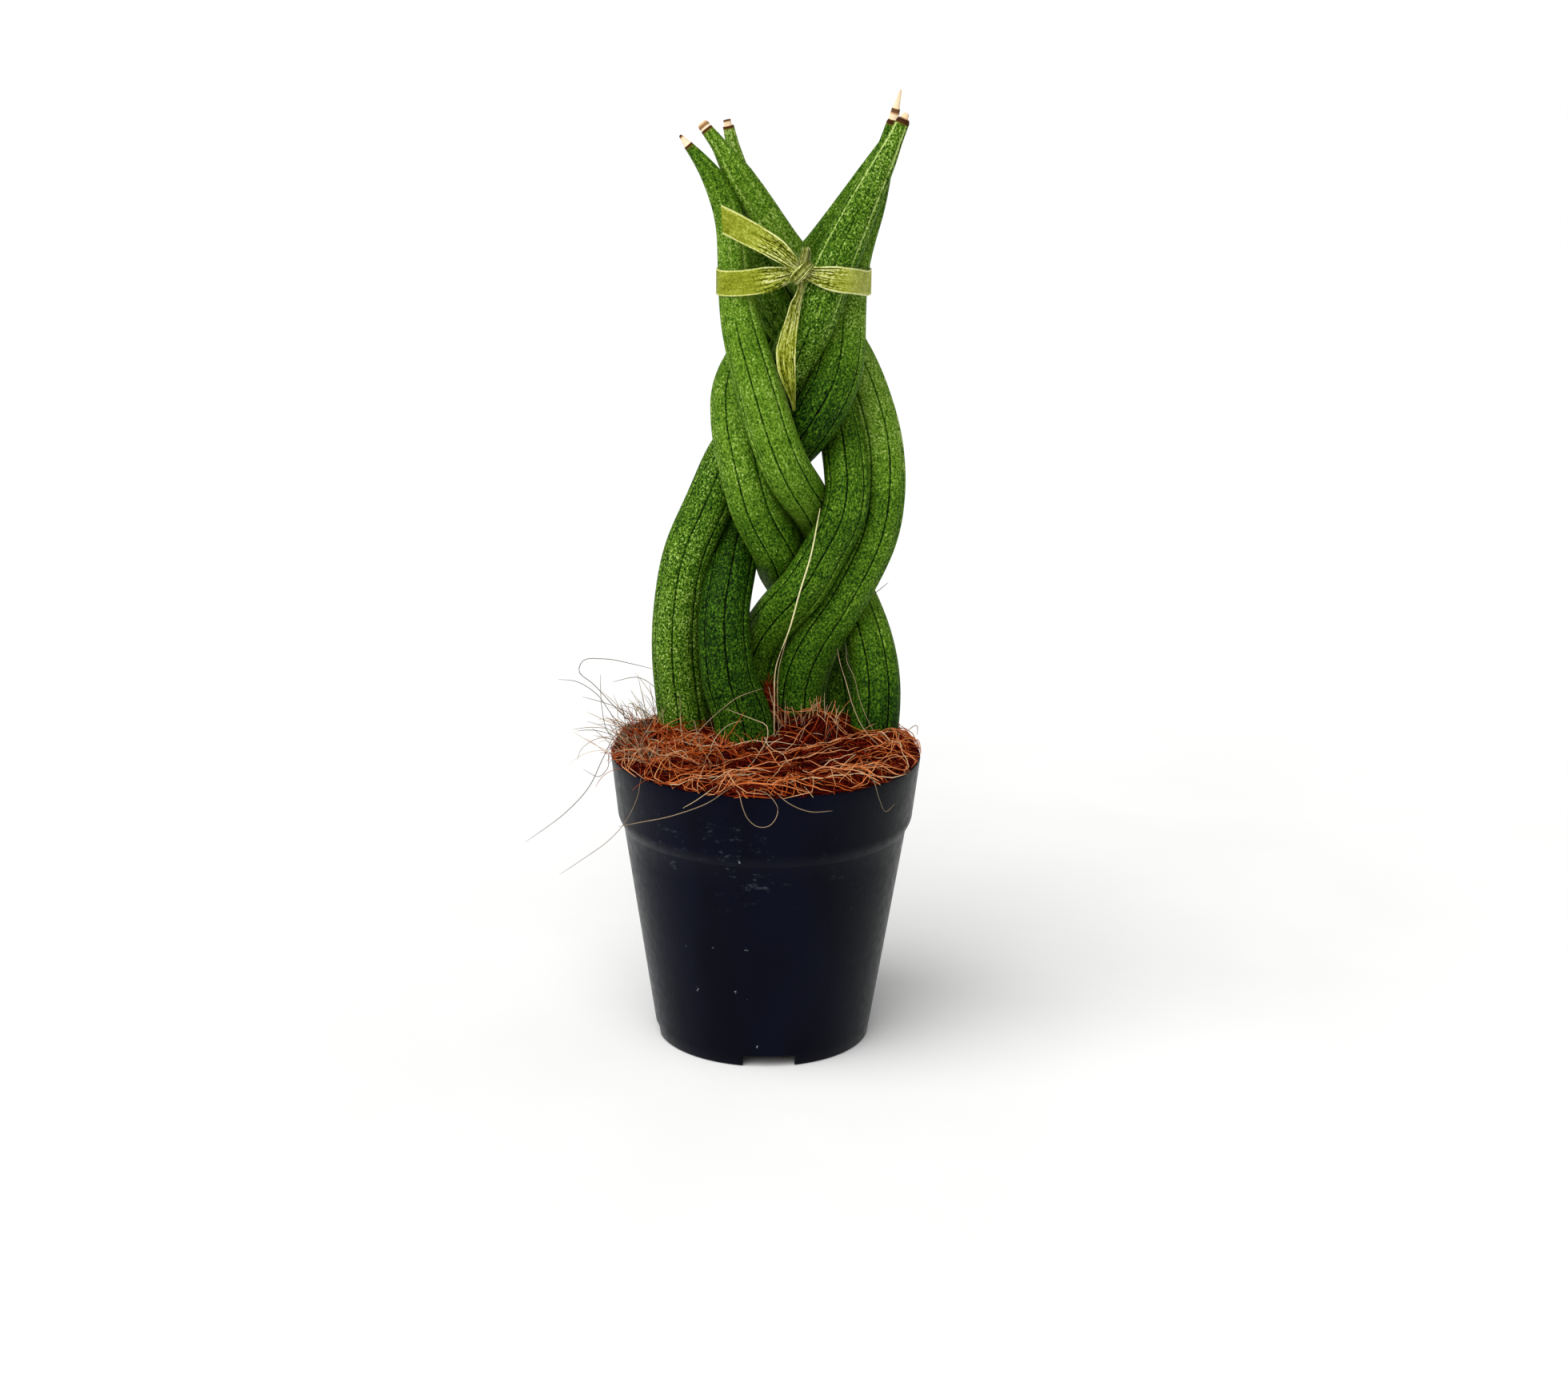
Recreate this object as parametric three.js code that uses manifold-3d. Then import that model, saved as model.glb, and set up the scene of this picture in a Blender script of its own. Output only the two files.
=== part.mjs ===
// Braided cylindrical snake plant (Dracaena angolensis) in a 6 cm nursery pot.
//
// Six leaf spears, grown as three pairs, are braided from the soil up and tied with a narrow
// satin ribbon. The pot holds potting soil under a mat of coconut fibre (coir).
//
// Units are millimetres and +Z is up. The origin is the centre of the pot's underside, with
// +X to the plant's right and -Y towards its front.

import * as THREE from "three";
import { mergeVertices } from "three/addons/utils/BufferGeometryUtils.js";
import Module from "manifold-3d";

const wasm = await Module();
wasm.setup();

// ------------------------------------------------------------------ driving dimensions

const clearance = 0.3; // between pieces that touch

const potHeight = 57;
const rimRadius = 29.9;
const collarRadius = 28.8; // where the wider band below the rim begins
const neckRadius = 27; // of the wall just under that band
const footRadius = 20.8;
const wallThickness = 0.9;
const floorThickness = 1.2;
const floorRounding = 0.8; // inside, where the wall meets the floor
const edgeRounding = 0.4;
const collarHeight = 14.4; // of the band with its shoulder
const collarShoulder = 3.2; // height over which the band rounds in to the wall
const drainCount = 4;
const drainWidth = 10;
const drainHeight = 2.3;
const drainDepth = 5.5; // how far a drain notch runs in from the foot's edge
const drainTurn = THREE.MathUtils.degToRad(-86); // the front notch's place round the foot
const potSides = 60;

const soilTop = 51.5;
const soilSides = 40;

const coirBottom = soilTop + clearance;
const coirRadius = rimRadius - clearance; // the mat laps over the rim
const coirEdgeHeight = potHeight + clearance;
const coirRise = 1.4; // from the mat's edge to its middle
const coirLumps = 0.45;
const coirSquareness = 8; // how late the mat's top turns down towards its edge
const coirSides = 44;
const strandThickness = 0.8; // a fused bundle of fibres
const strandSides = 3;
const strandSteps = 5; // along each strand of the mat
const strandCount = 34;
const strandRun = [5, 13]; // the shortest and longest
const strandArch = [1, 2.4]; // how high a strand stands over its sunk ends
const strandSunk = 0.55;
const strandReach = 0.95; // of the mat's radius

const ridgeCount = 7; // round each leaf
const grooveDepth = 0.08; // as a share of the leaf's radius
const ringSpacing = 3.6; // along a leaf
const footLength = 44; // over which a leaf thins from its buried foot
const taperPower = 0.5; // how bluntly a leaf runs out to its tip
const socketSides = 10;
const socketTop = potHeight + 20;

const ribbonWidth = 5;
const ribbonThickness = 0.6;
const bandLeft = 147.2; // height of the band's middle at the left
const bandRight = 146;
const bandGather = 11; // length over which the band narrows to the knot
const bandGathered = 1.8; // the band's width at the knot
const knotHeight = 149.8;
const knotPlace = 5.4; // the knot's X
const knotSize = new THREE.Vector3(3.6, 2.8, 4.2);
const bandSteps = 46; // round the leaves
const hullSamples = 300; // along each leaf, for the loop that the band follows
const hullSides = 24;

// ------------------------------------------------------------------ materials

const material = (color, roughness) => new THREE.MeshStandardMaterial({ color, roughness, metalness: 0 });

const potPlastic = material("#15182b", 0.42);
const soilMix = material("#3a2418", 1.0);
const coirFibre = material("#9a4f22", 0.95);
const satin = material("#aab04a", 0.45);
const leafSkin = (color) => material(color, 0.5);

// ------------------------------------------------------------------ solids

// A closed geometry as a manifold-3d solid.
function solidOf(geometry) {
  const bare = new THREE.BufferGeometry();
  bare.setAttribute("position", geometry.getAttribute("position"));
  bare.setIndex(geometry.getIndex());
  const merged = mergeVertices(bare, 1e-4);
  return new wasm.Manifold(
    new wasm.Mesh({
      numProp: 3,
      vertProperties: new Float32Array(merged.getAttribute("position").array),
      triVerts: new Uint32Array(merged.getIndex().array),
    }),
  );
}

// A manifold-3d solid as a geometry.
function geometryOf(solid) {
  const mesh = solid.getMesh();
  const geometry = new THREE.BufferGeometry();
  geometry.setAttribute("position", new THREE.BufferAttribute(new Float32Array(mesh.vertProperties), 3));
  geometry.setIndex(new THREE.BufferAttribute(new Uint32Array(mesh.triVerts), 1));
  geometry.computeVertexNormals();
  return geometry;
}

const joined = (solids) => solids.reduce((whole, piece) => whole.add(piece));
const without = (solid, holes) => holes.reduce((rest, hole) => rest.subtract(hole), solid);

// A geometry skinned over rings of equally many points, closed by a point in each end ring.
function skin(rings) {
  const around = rings[0].length;
  const positions = rings.flat().flatMap((p) => [p.x, p.y, p.z]);
  const middle = (ring) => ring.reduce((sum, p) => sum.add(p), new THREE.Vector3()).divideScalar(around);
  const first = rings.length * around;
  const last = first + 1;
  positions.push(...middle(rings[0]).toArray(), ...middle(rings.at(-1)).toArray());
  const index = [];
  for (let i = 0; i < around; i++) {
    const next = (i + 1) % around;
    index.push(first, next, i);
    for (let row = 0; row + 1 < rings.length; row++) {
      const low = row * around;
      const high = low + around;
      index.push(low + i, low + next, high + next);
      index.push(low + i, high + next, high + i);
    }
    const top = (rings.length - 1) * around;
    index.push(last, top + i, top + next);
  }
  const geometry = new THREE.BufferGeometry();
  geometry.setAttribute("position", new THREE.Float32BufferAttribute(positions, 3));
  geometry.setIndex(index);
  return geometry;
}

// The solid a profile of [radius, height] points sweeps out round the Z axis.
function turned(profile, sides) {
  const points = profile.map(([radius, height]) => new THREE.Vector2(radius, height));
  return solidOf(new THREE.LatheGeometry(points, sides).rotateX(Math.PI / 2));
}

// Frames along a line of points that turn no more than the line itself does.
function framesAlong(points) {
  const frames = [];
  let side = new THREE.Vector3(1, 0, 0);
  points.forEach((point, i) => {
    const before = points[Math.max(i - 1, 0)];
    const after = points[Math.min(i + 1, points.length - 1)];
    const ahead = after.clone().sub(before).normalize();
    side = side.clone().addScaledVector(ahead, -side.dot(ahead)).normalize();
    frames.push({ point, side, across: ahead.clone().cross(side) });
  });
  return frames;
}

const vectors = (places) => places.map((place) => new THREE.Vector3(...place));

// Seeded random numbers from 0 to 1.
function seeded(seed) {
  let state = seed;
  return () => {
    state = (state * 1664525 + 1013904223) % 4294967296;
    return state / 4294967296;
  };
}

// ------------------------------------------------------------------ leaves

// Each spear's middle line, from its buried end to the end of its green. girth is its radius,
// foot its radius where it is buried, and taper the length over which it thins to the tip.
// tip gives [radius, distance past the green] along the dry end.
const spears = [
  {
    name: "leaf_a1",
    color: "#55802c",
    girth: 4.6,
    foot: 5.3,
    taper: 38,
    tip: [[1.15, 0], [0.75, 0.5], [0.6, 1.3]],
    route: [
      [-15.2, 10, 46], [-16.3, 10.4, 58], [-17.3, 10.4, 66], [-18, 10.2, 72], [-18.1, 9.8, 80],
      [-17, 9.8, 89], [-13.6, 11.6, 97], [-9, 15.2, 106.5], [-4.2, 18, 114], [0.5, 16.5, 120.5],
      [3.9, 10.5, 126.5], [5.2, 4.8, 134], [8.2, 2, 142], [11.5, 3, 150], [16, 4, 160],
      [20, 4.5, 168.5], [23.6, 5, 176.7],
    ],
  },
  {
    name: "leaf_a2",
    color: "#3f6b25",
    girth: 4.6,
    foot: 5.8,
    taper: 42,
    tip: [[1, 0], [0.85, 1.9], [0.4, 2.2], [0.32, 5.4]],
    route: [
      [-3.5, 5, 46], [-4, 3.5, 58], [-4.8, 3.5, 63.8], [-6.9, 3.5, 68.6], [-8, 3.6, 75],
      [-8.5, 4.6, 81.2], [-8, 7.3, 87.3], [-7, 11, 92.5], [-5.2, 14.5, 97.5], [-2.2, 16, 103.5],
      [1.2, 14, 110], [4.9, 9, 117], [8.5, 4.5, 124], [12, 6, 131], [13.8, 9, 141], [14.8, 11, 151],
      [18, 12, 160], [20.5, 13, 169], [22.2, 12.5, 176],
    ],
  },
  {
    name: "leaf_b1",
    color: "#4f7c2a",
    girth: 4.1,
    foot: 4.4,
    taper: 46,
    tip: [[0.95, 0], [0.9, 1.2]],
    route: [
      [-2.5, 14.5, 46], [-2.8, 15, 58], [-2.8, 14.5, 66], [-2.3, 14, 71], [-1.2, 12.5, 76],
      [1.3, 10, 80.6], [4.2, 8, 85.2], [7.5, 6, 90.5], [10.5, 5, 95.5], [12.9, 4.5, 101],
      [14.3, 5, 108], [14, 9, 114], [12.5, 13, 119.5], [9.5, 14.8, 126.5], [5, 13.8, 134],
      [0.5, 12.5, 142], [-2, 13, 150], [-4.5, 13, 158.5], [-6.4, 13, 167], [-8.2, 13, 174.8],
    ],
  },
  {
    name: "leaf_b2",
    color: "#47752a",
    girth: 4.25,
    foot: 5.3,
    taper: 46,
    tip: [[1.15, 0], [1.05, 1.4]],
    route: [
      [6.8, 10.5, 46], [6.4, 10.5, 58], [6.4, 10.5, 65], [7, 10.5, 70], [9.5, 10, 76.7],
      [13.2, 8.5, 83.6], [16.2, 7.5, 88.5], [19.3, 7.5, 93.6], [21.4, 8.4, 99.5], [22.2, 10, 106],
      [21.4, 14.5, 115], [18.6, 18.3, 124], [14.2, 20.3, 132], [9.8, 18.8, 139], [6.2, 12.8, 146],
      [2.5, 8.5, 152], [-2.2, 7, 160], [-7.5, 7, 168], [-12.4, 8, 174.6],
    ],
  },
  {
    name: "leaf_c1",
    color: "#648c30",
    girth: 4.35,
    foot: 4.7,
    taper: 50,
    tip: [[0.8, 0], [0.6, 1.1], [0.35, 2.1]],
    route: [
      [19.5, 8, 46], [21, 8.5, 58], [21.5, 9.5, 68], [20, 12.5, 76], [16.5, 16, 84], [12.5, 15.5, 92],
      [8.5, 11.5, 101], [5.5, 5.5, 108], [3, 0.5, 115], [-0.5, -0.5, 123], [-3, 0, 131],
      [-5.5, 3, 139], [-7, 4.5, 148], [-8.2, 5, 158], [-11.6, 5, 166.2], [-15.7, 5, 171.9],
    ],
  },
  {
    name: "leaf_c2",
    color: "#4a7728",
    girth: 4.7,
    foot: 4.8,
    taper: 42,
    tip: [[0.8, 0], [0.4, 1.6]],
    route: [
      [12, 17.5, 46], [13.5, 18.5, 60], [12, 18.8, 70], [8.3, 18.6, 79], [4.3, 16.3, 87.5],
      [1.7, 9.5, 95], [-1.3, 6.2, 103.5], [-4.5, 5.5, 111.5], [-6.2, 7.5, 118], [-6.3, 10.5, 123],
      [-4.9, 14.5, 128], [-2.9, 18.5, 134], [0.6, 22.5, 139], [4, 24.3, 143.5], [8.2, 22.5, 149],
      [12.8, 18.5, 157], [17, 17, 164.5], [20.8, 15, 172.3],
    ],
  },
];

const settleSamples = 72;
const settlePasses = 400;
const settleReach = 3; // neighbours on each side that share a push
const settleStiffness = 0.003; // how strongly a leaf straightens in each pass
const settleSideways = 0.35; // leaves give way less to the sides than front to back

// The leaf's radius at a distance from the end of its green and from its buried end.
function girthAt(leaf, fromTip, fromFoot) {
  const taper = Math.min(1, fromTip / leaf.taper) ** taperPower;
  const swell = (leaf.foot - leaf.girth) * (1 - THREE.MathUtils.smoothstep(fromFoot, 0, footLength));
  return Math.max(leaf.girth * taper + swell, leaf.tip[0][0]);
}

// Even steps along a curve, with the leaf's radius at each.
function traceLeaf(leaf, curve, steps) {
  const length = curve.getLength();
  const points = curve.getSpacedPoints(steps);
  const radii = points.map((_, i) => girthAt(leaf, length * (1 - i / steps), (length * i) / steps));
  return { points, radii };
}

function traceSpear(spear) {
  const curve = new THREE.CatmullRomCurve3(vectors(spear.route));
  return { ...spear, ...traceLeaf(spear, curve, settleSamples - 1) };
}

// The push that takes one leaf's samples half the way out of another leaf.
function pushFrom(leaf, other, pushes) {
  const away = new THREE.Vector3();
  leaf.points.forEach((point, i) => {
    let deepest = 0;
    const push = new THREE.Vector3();
    other.points.forEach((neighbour, j) => {
      away.subVectors(point, neighbour);
      const lap = leaf.radii[i] + other.radii[j] + clearance - away.length();
      if (lap > deepest) {
        deepest = lap;
        push.copy(away).setLength(lap / 2);
        push.x *= settleSideways;
      }
    });
    pushes[i].add(push);
  });
}

// Moves a leaf's samples by the pushes near them, and straightens its kinks a little.
function yieldTo(leaf, pushes) {
  leaf.points.forEach((point, i) => {
    for (let step = -settleReach; step <= settleReach; step++) {
      const share = (1 - Math.abs(step) / (settleReach + 1)) / (settleReach + 1);
      if (pushes[i + step]) point.addScaledVector(pushes[i + step], share);
    }
  });
  const before = leaf.points.map((point) => point.clone());
  for (let i = 1; i + 1 < before.length; i++) {
    const middle = before[i - 1].clone().lerp(before[i + 1], 0.5);
    leaf.points[i].lerp(middle, settleStiffness);
  }
}

// Braided leaves press each other aside until none runs through another.
function settle(leaves) {
  for (let pass = 0; pass < settlePasses; pass++) {
    const pushes = leaves.map((leaf) => leaf.points.map(() => new THREE.Vector3()));
    leaves.forEach((leaf, a) => {
      leaves.forEach((other, b) => {
        if (a !== b) pushFrom(leaf, other, pushes[a]);
      });
    });
    leaves.forEach((leaf, a) => yieldTo(leaf, pushes[a]));
  }
}

// A ring round a point for each frame of a line, with raised ridges and grooves in turn.
function ringsRound(points, radii, sides, groove) {
  return framesAlong(points).map(({ point, side, across }, row) =>
    Array.from({ length: sides }, (_, i) => {
      const turn = (i * 2 * Math.PI) / sides;
      const reach = radii[row] * (i % 2 ? 1 - groove : 1);
      return point
        .clone()
        .addScaledVector(side, reach * Math.cos(turn))
        .addScaledVector(across, reach * Math.sin(turn));
    }),
  );
}

// The line of a settled leaf at even steps, with the leaf's radius there and its dry tip.
function leafLine(leaf) {
  const curve = new THREE.CatmullRomCurve3(leaf.points);
  const { points, radii } = traceLeaf(leaf, curve, Math.round(curve.getLength() / ringSpacing));
  const ahead = curve.getTangentAt(1);
  const end = points.at(-1);
  leaf.tip.slice(1).forEach(([radius, along]) => {
    points.push(end.clone().addScaledVector(ahead, along));
    radii.push(radius);
  });
  return { points, radii };
}

function leafGeometry(leaf) {
  const { points, radii } = leafLine(leaf);
  return skin(ringsRound(points, radii, 2 * ridgeCount, grooveDepth));
}

// What the leaf's lower end takes up in the soil and the mat, with room round it.
function socket(leaf) {
  const { points, radii } = leafLine(leaf);
  const count = points.findIndex((point) => point.z > socketTop);
  const line = points.slice(0, count);
  line[0] = line[0].clone().add(line[0].clone().sub(line[1]).setLength(clearance));
  const wide = radii.slice(0, count).map((radius) => (radius + clearance) / Math.cos(Math.PI / socketSides));
  return solidOf(skin(ringsRound(line, wide, socketSides, 0)));
}

const leaves = spears.map(traceSpear);
settle(leaves);
const sockets = leaves.map(socket);

// ------------------------------------------------------------------ pot

// The wall leans out evenly to the neck, rounds out over the shoulder, and leans on to the rim.
const neckHeight = potHeight - collarHeight;
const collarBottom = neckHeight + collarShoulder;
const shoulder = [0, 0.35, 0.7, 1].map((share) => neckHeight + share * collarShoulder);

function outerRadius(height) {
  const { lerp, inverseLerp } = THREE.MathUtils;
  if (height < neckHeight) return lerp(footRadius, neckRadius, height / neckHeight);
  if (height > collarBottom) {
    return lerp(collarRadius, rimRadius, inverseLerp(collarBottom, potHeight, height));
  }
  const rounding = Math.sin((Math.PI / 2) * inverseLerp(neckHeight, collarBottom, height));
  return lerp(neckRadius, collarRadius, rounding);
}

const innerRadius = (height) => outerRadius(height) - wallThickness;

// The hollow's profile up the wall from the floor, moved in from the wall by a gap.
function hollowProfile(bottom, top, gap) {
  const heights = [bottom + floorRounding, ...shoulder, top];
  return [
    [innerRadius(bottom) - floorRounding - gap, bottom],
    ...heights.map((height) => [innerRadius(height) - gap, height]),
  ];
}

function drainNotch(number) {
  const notch = new THREE.BoxGeometry(2 * drainDepth, drainWidth, 2 * drainHeight);
  notch.translate(footRadius, 0, 0);
  notch.rotateZ(drainTurn + (number * 2 * Math.PI) / drainCount);
  return solidOf(notch);
}

function potSolid() {
  const outside = [
    [footRadius - edgeRounding, 0],
    [outerRadius(edgeRounding), edgeRounding],
    ...shoulder.map((height) => [outerRadius(height), height]),
    [outerRadius(potHeight - edgeRounding), potHeight - edgeRounding],
    [rimRadius - edgeRounding, potHeight],
  ];
  const inside = hollowProfile(floorThickness, potHeight, 0).reverse();
  const shell = turned([[0, 0], ...outside, ...inside, [0, floorThickness]], potSides);
  return without(shell, Array.from({ length: drainCount }, (_, i) => drainNotch(i)));
}

// ------------------------------------------------------------------ soil and coir

function soilSolid() {
  const bottom = floorThickness + clearance;
  const side = hollowProfile(bottom, soilTop, clearance);
  return without(turned([[0, bottom], ...side, [0, soilTop]], soilSides), sockets);
}

// Where the mat stands higher: among the leaves, heaped up at the left, and in a tuft.
const coirHumps = [
  { place: new THREE.Vector2(4, 13), height: 3.4, spread: 9 },
  { place: new THREE.Vector2(-22, 8), height: 1.6, spread: 8 },
  { place: new THREE.Vector2(0.4, 9), height: 4.5, spread: 2.6 },
];

// The mat's surface: it rounds up from the rim to its humps.
function coirHeight(x, y) {
  const outward = Math.min(Math.hypot(x, y) / coirRadius, 1);
  const lumps = coirLumps * (Math.sin(0.9 * x + 1.3) * Math.cos(0.8 * y) + Math.sin(0.45 * x - 0.7 * y));
  const humps = coirHumps.map(({ place, height, spread }) => {
    const away = Math.hypot(x - place.x, y - place.y) / spread;
    return height * Math.exp(-away * away);
  });
  const rise = humps.reduce((sum, height) => sum + height, coirRise + lumps);
  return coirEdgeHeight + rise * Math.sqrt(1 - outward ** coirSquareness);
}

function matSolid() {
  const circle = (radius, heightAt) =>
    Array.from({ length: coirSides }, (_, i) => {
      const turn = (i * 2 * Math.PI) / coirSides;
      const x = radius * Math.cos(turn);
      const y = radius * Math.sin(turn);
      return new THREE.Vector3(x, y, heightAt(x, y));
    });
  const level = (radius, height) => circle(radius, () => height);
  const plugRadius = (height) => innerRadius(height) - clearance;
  const crown = [1, 0.975, 0.92, 0.82, 0.69, 0.55, 0.42, 0.3, 0.15]; // rings, from the edge inwards
  return solidOf(
    skin([
      level(plugRadius(coirBottom) / 2, coirBottom),
      level(plugRadius(coirBottom), coirBottom),
      level(plugRadius(potHeight), coirEdgeHeight),
      ...crown.map((share) => circle(share * coirRadius, coirHeight)),
    ]),
  );
}

// A strand of fibres: a thin bar along a curve.
function strand(points, steps) {
  const corners = Array.from({ length: strandSides }, (_, i) => {
    const turn = (i * 2 * Math.PI) / strandSides;
    return new THREE.Vector2(Math.cos(turn), Math.sin(turn)).multiplyScalar(strandThickness / 2);
  });
  const settings = { steps, bevelEnabled: false, extrudePath: new THREE.CatmullRomCurve3(points) };
  return solidOf(new THREE.ExtrudeGeometry(new THREE.Shape(corners), settings));
}

// Strands arch out of the mat and back into it, in every direction.
function matStrands() {
  const random = seeded(7);
  const between = (low, high) => low + (high - low) * random();
  const farthest = strandReach * coirRadius;
  const strands = [];
  while (strands.length < strandCount) {
    const start = new THREE.Vector2(farthest * Math.sqrt(random()), 0);
    start.rotateAround(new THREE.Vector2(), between(0, 2 * Math.PI));
    const run = new THREE.Vector2(between(...strandRun), 0);
    const end = run.rotateAround(new THREE.Vector2(), between(0, 2 * Math.PI)).add(start);
    const arch = between(...strandArch);
    if (end.length() > farthest) continue;
    const points = [0, 0.25, 0.5, 0.75, 1].map((share) => {
      const { x, y } = start.clone().lerp(end, share);
      return new THREE.Vector3(x, y, coirHeight(x, y) + arch * Math.sin(Math.PI * share) - strandSunk);
    });
    strands.push(strand(points, strandSteps));
  }
  return strands;
}

// Straws that stand out of the mat, over the rim or up among the leaves.
const straws = [
  [[-22, -8, 57.9], [-26.5, -9.8, 60], [-29.5, -11.4, 58.6], [-33, -12.4, 54], [-38, -13, 48]],
  [[-21, -14, 57.9], [-25, -16.6, 59.4], [-28, -19, 56], [-31, -20.5, 50]],
  [[-23, 2, 58.6], [-29.5, 2, 65.5], [-34, 2, 70], [-35.5, 2, 73], [-31, 2.7, 74.4], [-22.8, 3.6, 72.2]],
  [
    [-6, -26, 57.7], [-4.4, -30.4, 58.2], [-3, -31.9, 54.8], [0.3, -32.2, 52.6], [2.2, -31.9, 55],
    [2.9, -30.4, 58.2], [3.2, -26, 57.7],
  ],
  [[-7.5, -25, 57.8], [-10, -29.8, 58.4], [-17, -28.3, 54.6], [-25, -21.5, 48]],
  [[18.5, -17, 57.8], [21.4, -22, 58.4], [23, -24.2, 52.4], [24.8, -23, 52.6]],
  [[24, 3, 57.9], [28.5, 4, 61], [32, 7, 60], [35, 11, 57]],
  [[19.6, 19.4, 57.6], [21.5, 22, 60], [25, 25, 58], [27, 28, 53]],
  [[-3, 24, 58.2], [-5, 28, 61.5], [-9, 32, 59], [-14, 35, 56]],
  [[-17, 17, 58.4], [-21, 20, 62.5], [-26, 23, 65], [-31, 23, 64]],
  [[2.6, 2.6, 58.4], [2.4, 1.8, 68], [3.6, 0.4, 79], [6, -0.8, 88], [8, -1.2, 95], [9.7, -1.4, 105]],
];

function coirSolid() {
  const strawSolids = straws.map((route) => strand(vectors(route), 2 * route.length - 2));
  const whole = without(joined([matSolid(), ...matStrands(), ...strawSolids]), sockets);
  const largestFirst = whole.decompose().sort((a, b) => b.volume() - a.volume());
  return largestFirst[0];
}

// ------------------------------------------------------------------ ribbon

const cross = (o, a, b) => (a.x - o.x) * (b.y - o.y) - (a.y - o.y) * (b.x - o.x);

// The corners of the tightest loop round flat points, anticlockwise.
function loopRound(points) {
  const sorted = [...points].sort((a, b) => a.x - b.x || a.y - b.y);
  const chain = (list) => {
    const kept = [];
    list.forEach((point) => {
      while (kept.length > 1 && cross(kept.at(-2), kept.at(-1), point) <= 0) kept.pop();
      kept.push(point);
    });
    return kept.slice(0, -1);
  };
  return [...chain(sorted), ...chain(sorted.reverse())];
}

// The tightest level loop round the leaves at the band's height, at a distance from them.
function leafHull(distance) {
  const low = Math.min(bandLeft, bandRight) - ribbonWidth / 2;
  const high = Math.max(bandLeft, bandRight) + ribbonWidth / 2;
  const corners = leaves.flatMap((leaf) => {
    const { points, radii } = traceLeaf(leaf, new THREE.CatmullRomCurve3(leaf.points), hullSamples);
    return points.flatMap((point, i) => {
      if (point.z < low || point.z > high) return [];
      const reach = radii[i] + distance;
      return new THREE.EllipseCurve(point.x, point.y, reach, reach).getPoints(hullSides);
    });
  });
  return loopRound(corners);
}

// The band's middle line: from the knot round the leaves and back, as a path seen from above.
function bandPath() {
  const hull = leafHull(clearance + ribbonThickness / 2);
  const after = hull.findIndex((point, i) => {
    const before = hull.at(i - 1);
    return before.x <= knotPlace && point.x > knotPlace;
  });
  const before = hull.at(after - 1);
  const share = (knotPlace - before.x) / (hull[after].x - before.x);
  const knot = before.clone().lerp(hull[after], share);
  return new THREE.Path([knot, ...hull.slice(after), ...hull.slice(0, after), knot]);
}

// A flat strip through places along a ribbon: its middle, its width there, and which way it lies.
function strip(places) {
  const rings = places.map(({ at, wide, facing }, i) => {
    const before = places[Math.max(i - 1, 0)].at;
    const after = places[Math.min(i + 1, places.length - 1)].at;
    const ahead = after.clone().sub(before).normalize();
    const out = facing.clone().addScaledVector(ahead, -facing.dot(ahead)).setLength(ribbonThickness / 2);
    const over = ahead.clone().cross(out).setLength(wide / 2);
    const corner = (a, b) => at.clone().addScaledVector(over, a).addScaledVector(out, b);
    return [corner(-1, -1), corner(-1, 1), corner(1, 1), corner(1, -1)];
  });
  return solidOf(skin(rings));
}

function bandSolid(path) {
  const length = path.getLength();
  const places = Array.from({ length: bandSteps }, (_, i) => {
    const share = (i + 0.5) / bandSteps;
    const { x, y } = path.getPointAt(share);
    const tangent = path.getTangentAt(share);
    const fromKnot = length * Math.min(share, 1 - share);
    const spread = THREE.MathUtils.smoothstep(fromKnot, 0, bandGather);
    const level = THREE.MathUtils.lerp(bandRight, bandLeft, share);
    return {
      at: new THREE.Vector3(x, y, THREE.MathUtils.lerp(knotHeight, level, spread)),
      wide: THREE.MathUtils.lerp(bandGathered, ribbonWidth, spread),
      facing: new THREE.Vector3(tangent.y, -tangent.x, 0),
    };
  });
  return strip(places);
}

// A loose end: places given by hand as [x, y, z, width], facing a common way.
function tail(places, facing) {
  return strip(places.map(([x, y, z, wide]) => ({ at: new THREE.Vector3(x, y, z), wide, facing })));
}

function ribbonSolid() {
  const path = bandPath();
  const front = path.getPointAt(0).y;
  const knot = new THREE.SphereGeometry(0.5, 12, 8).rotateX(Math.PI / 2);
  knot.scale(knotSize.x, knotSize.y, knotSize.z);
  knot.translate(knotPlace, front - knotSize.y / 4, knotHeight);
  const upperTail = [
    [5.2, front - 0.7, 150.6, 2.2], [3.4, front - 0.8, 152.6, 3.6], [0.8, front - 0.6, 154.4, 4.6],
    [-2.9, front - 0.2, 156.1, 4.9], [-6.6, front + 0.2, 157.8, 4.9], [-9.2, front + 0.5, 158.9, 5.2],
  ];
  const lowerTail = [
    [5.5, front - 0.8, 149, 1.8], [5.2, front - 1.4, 144.2, 1.4], [3.7, front - 1.8, 141, 2.2],
    [2.8, front - 2, 135.4, 3.8], [3, front - 2.2, 132.4, 3.4], [3.7, front - 2.2, 128, 2.2],
    [4.4, front - 2, 124.2, 0.8],
  ];
  const fold = [[5.6, front - 0.8, 150.6, 1.8], [6.1, front - 0.8, 153, 1.9], [6.3, front - 0.6, 154.8, 1.3]];
  const forward = new THREE.Vector3(0, -1, 0);
  const tails = [upperTail, lowerTail, fold].map((places) => tail(places, forward));
  return joined([bandSolid(path), solidOf(knot), ...tails]);
}

// ------------------------------------------------------------------ the plant

const plant = new THREE.Group();

function place(name, geometry, finish) {
  const mesh = new THREE.Mesh(geometry, finish);
  mesh.name = name;
  plant.add(mesh);
}

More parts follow.
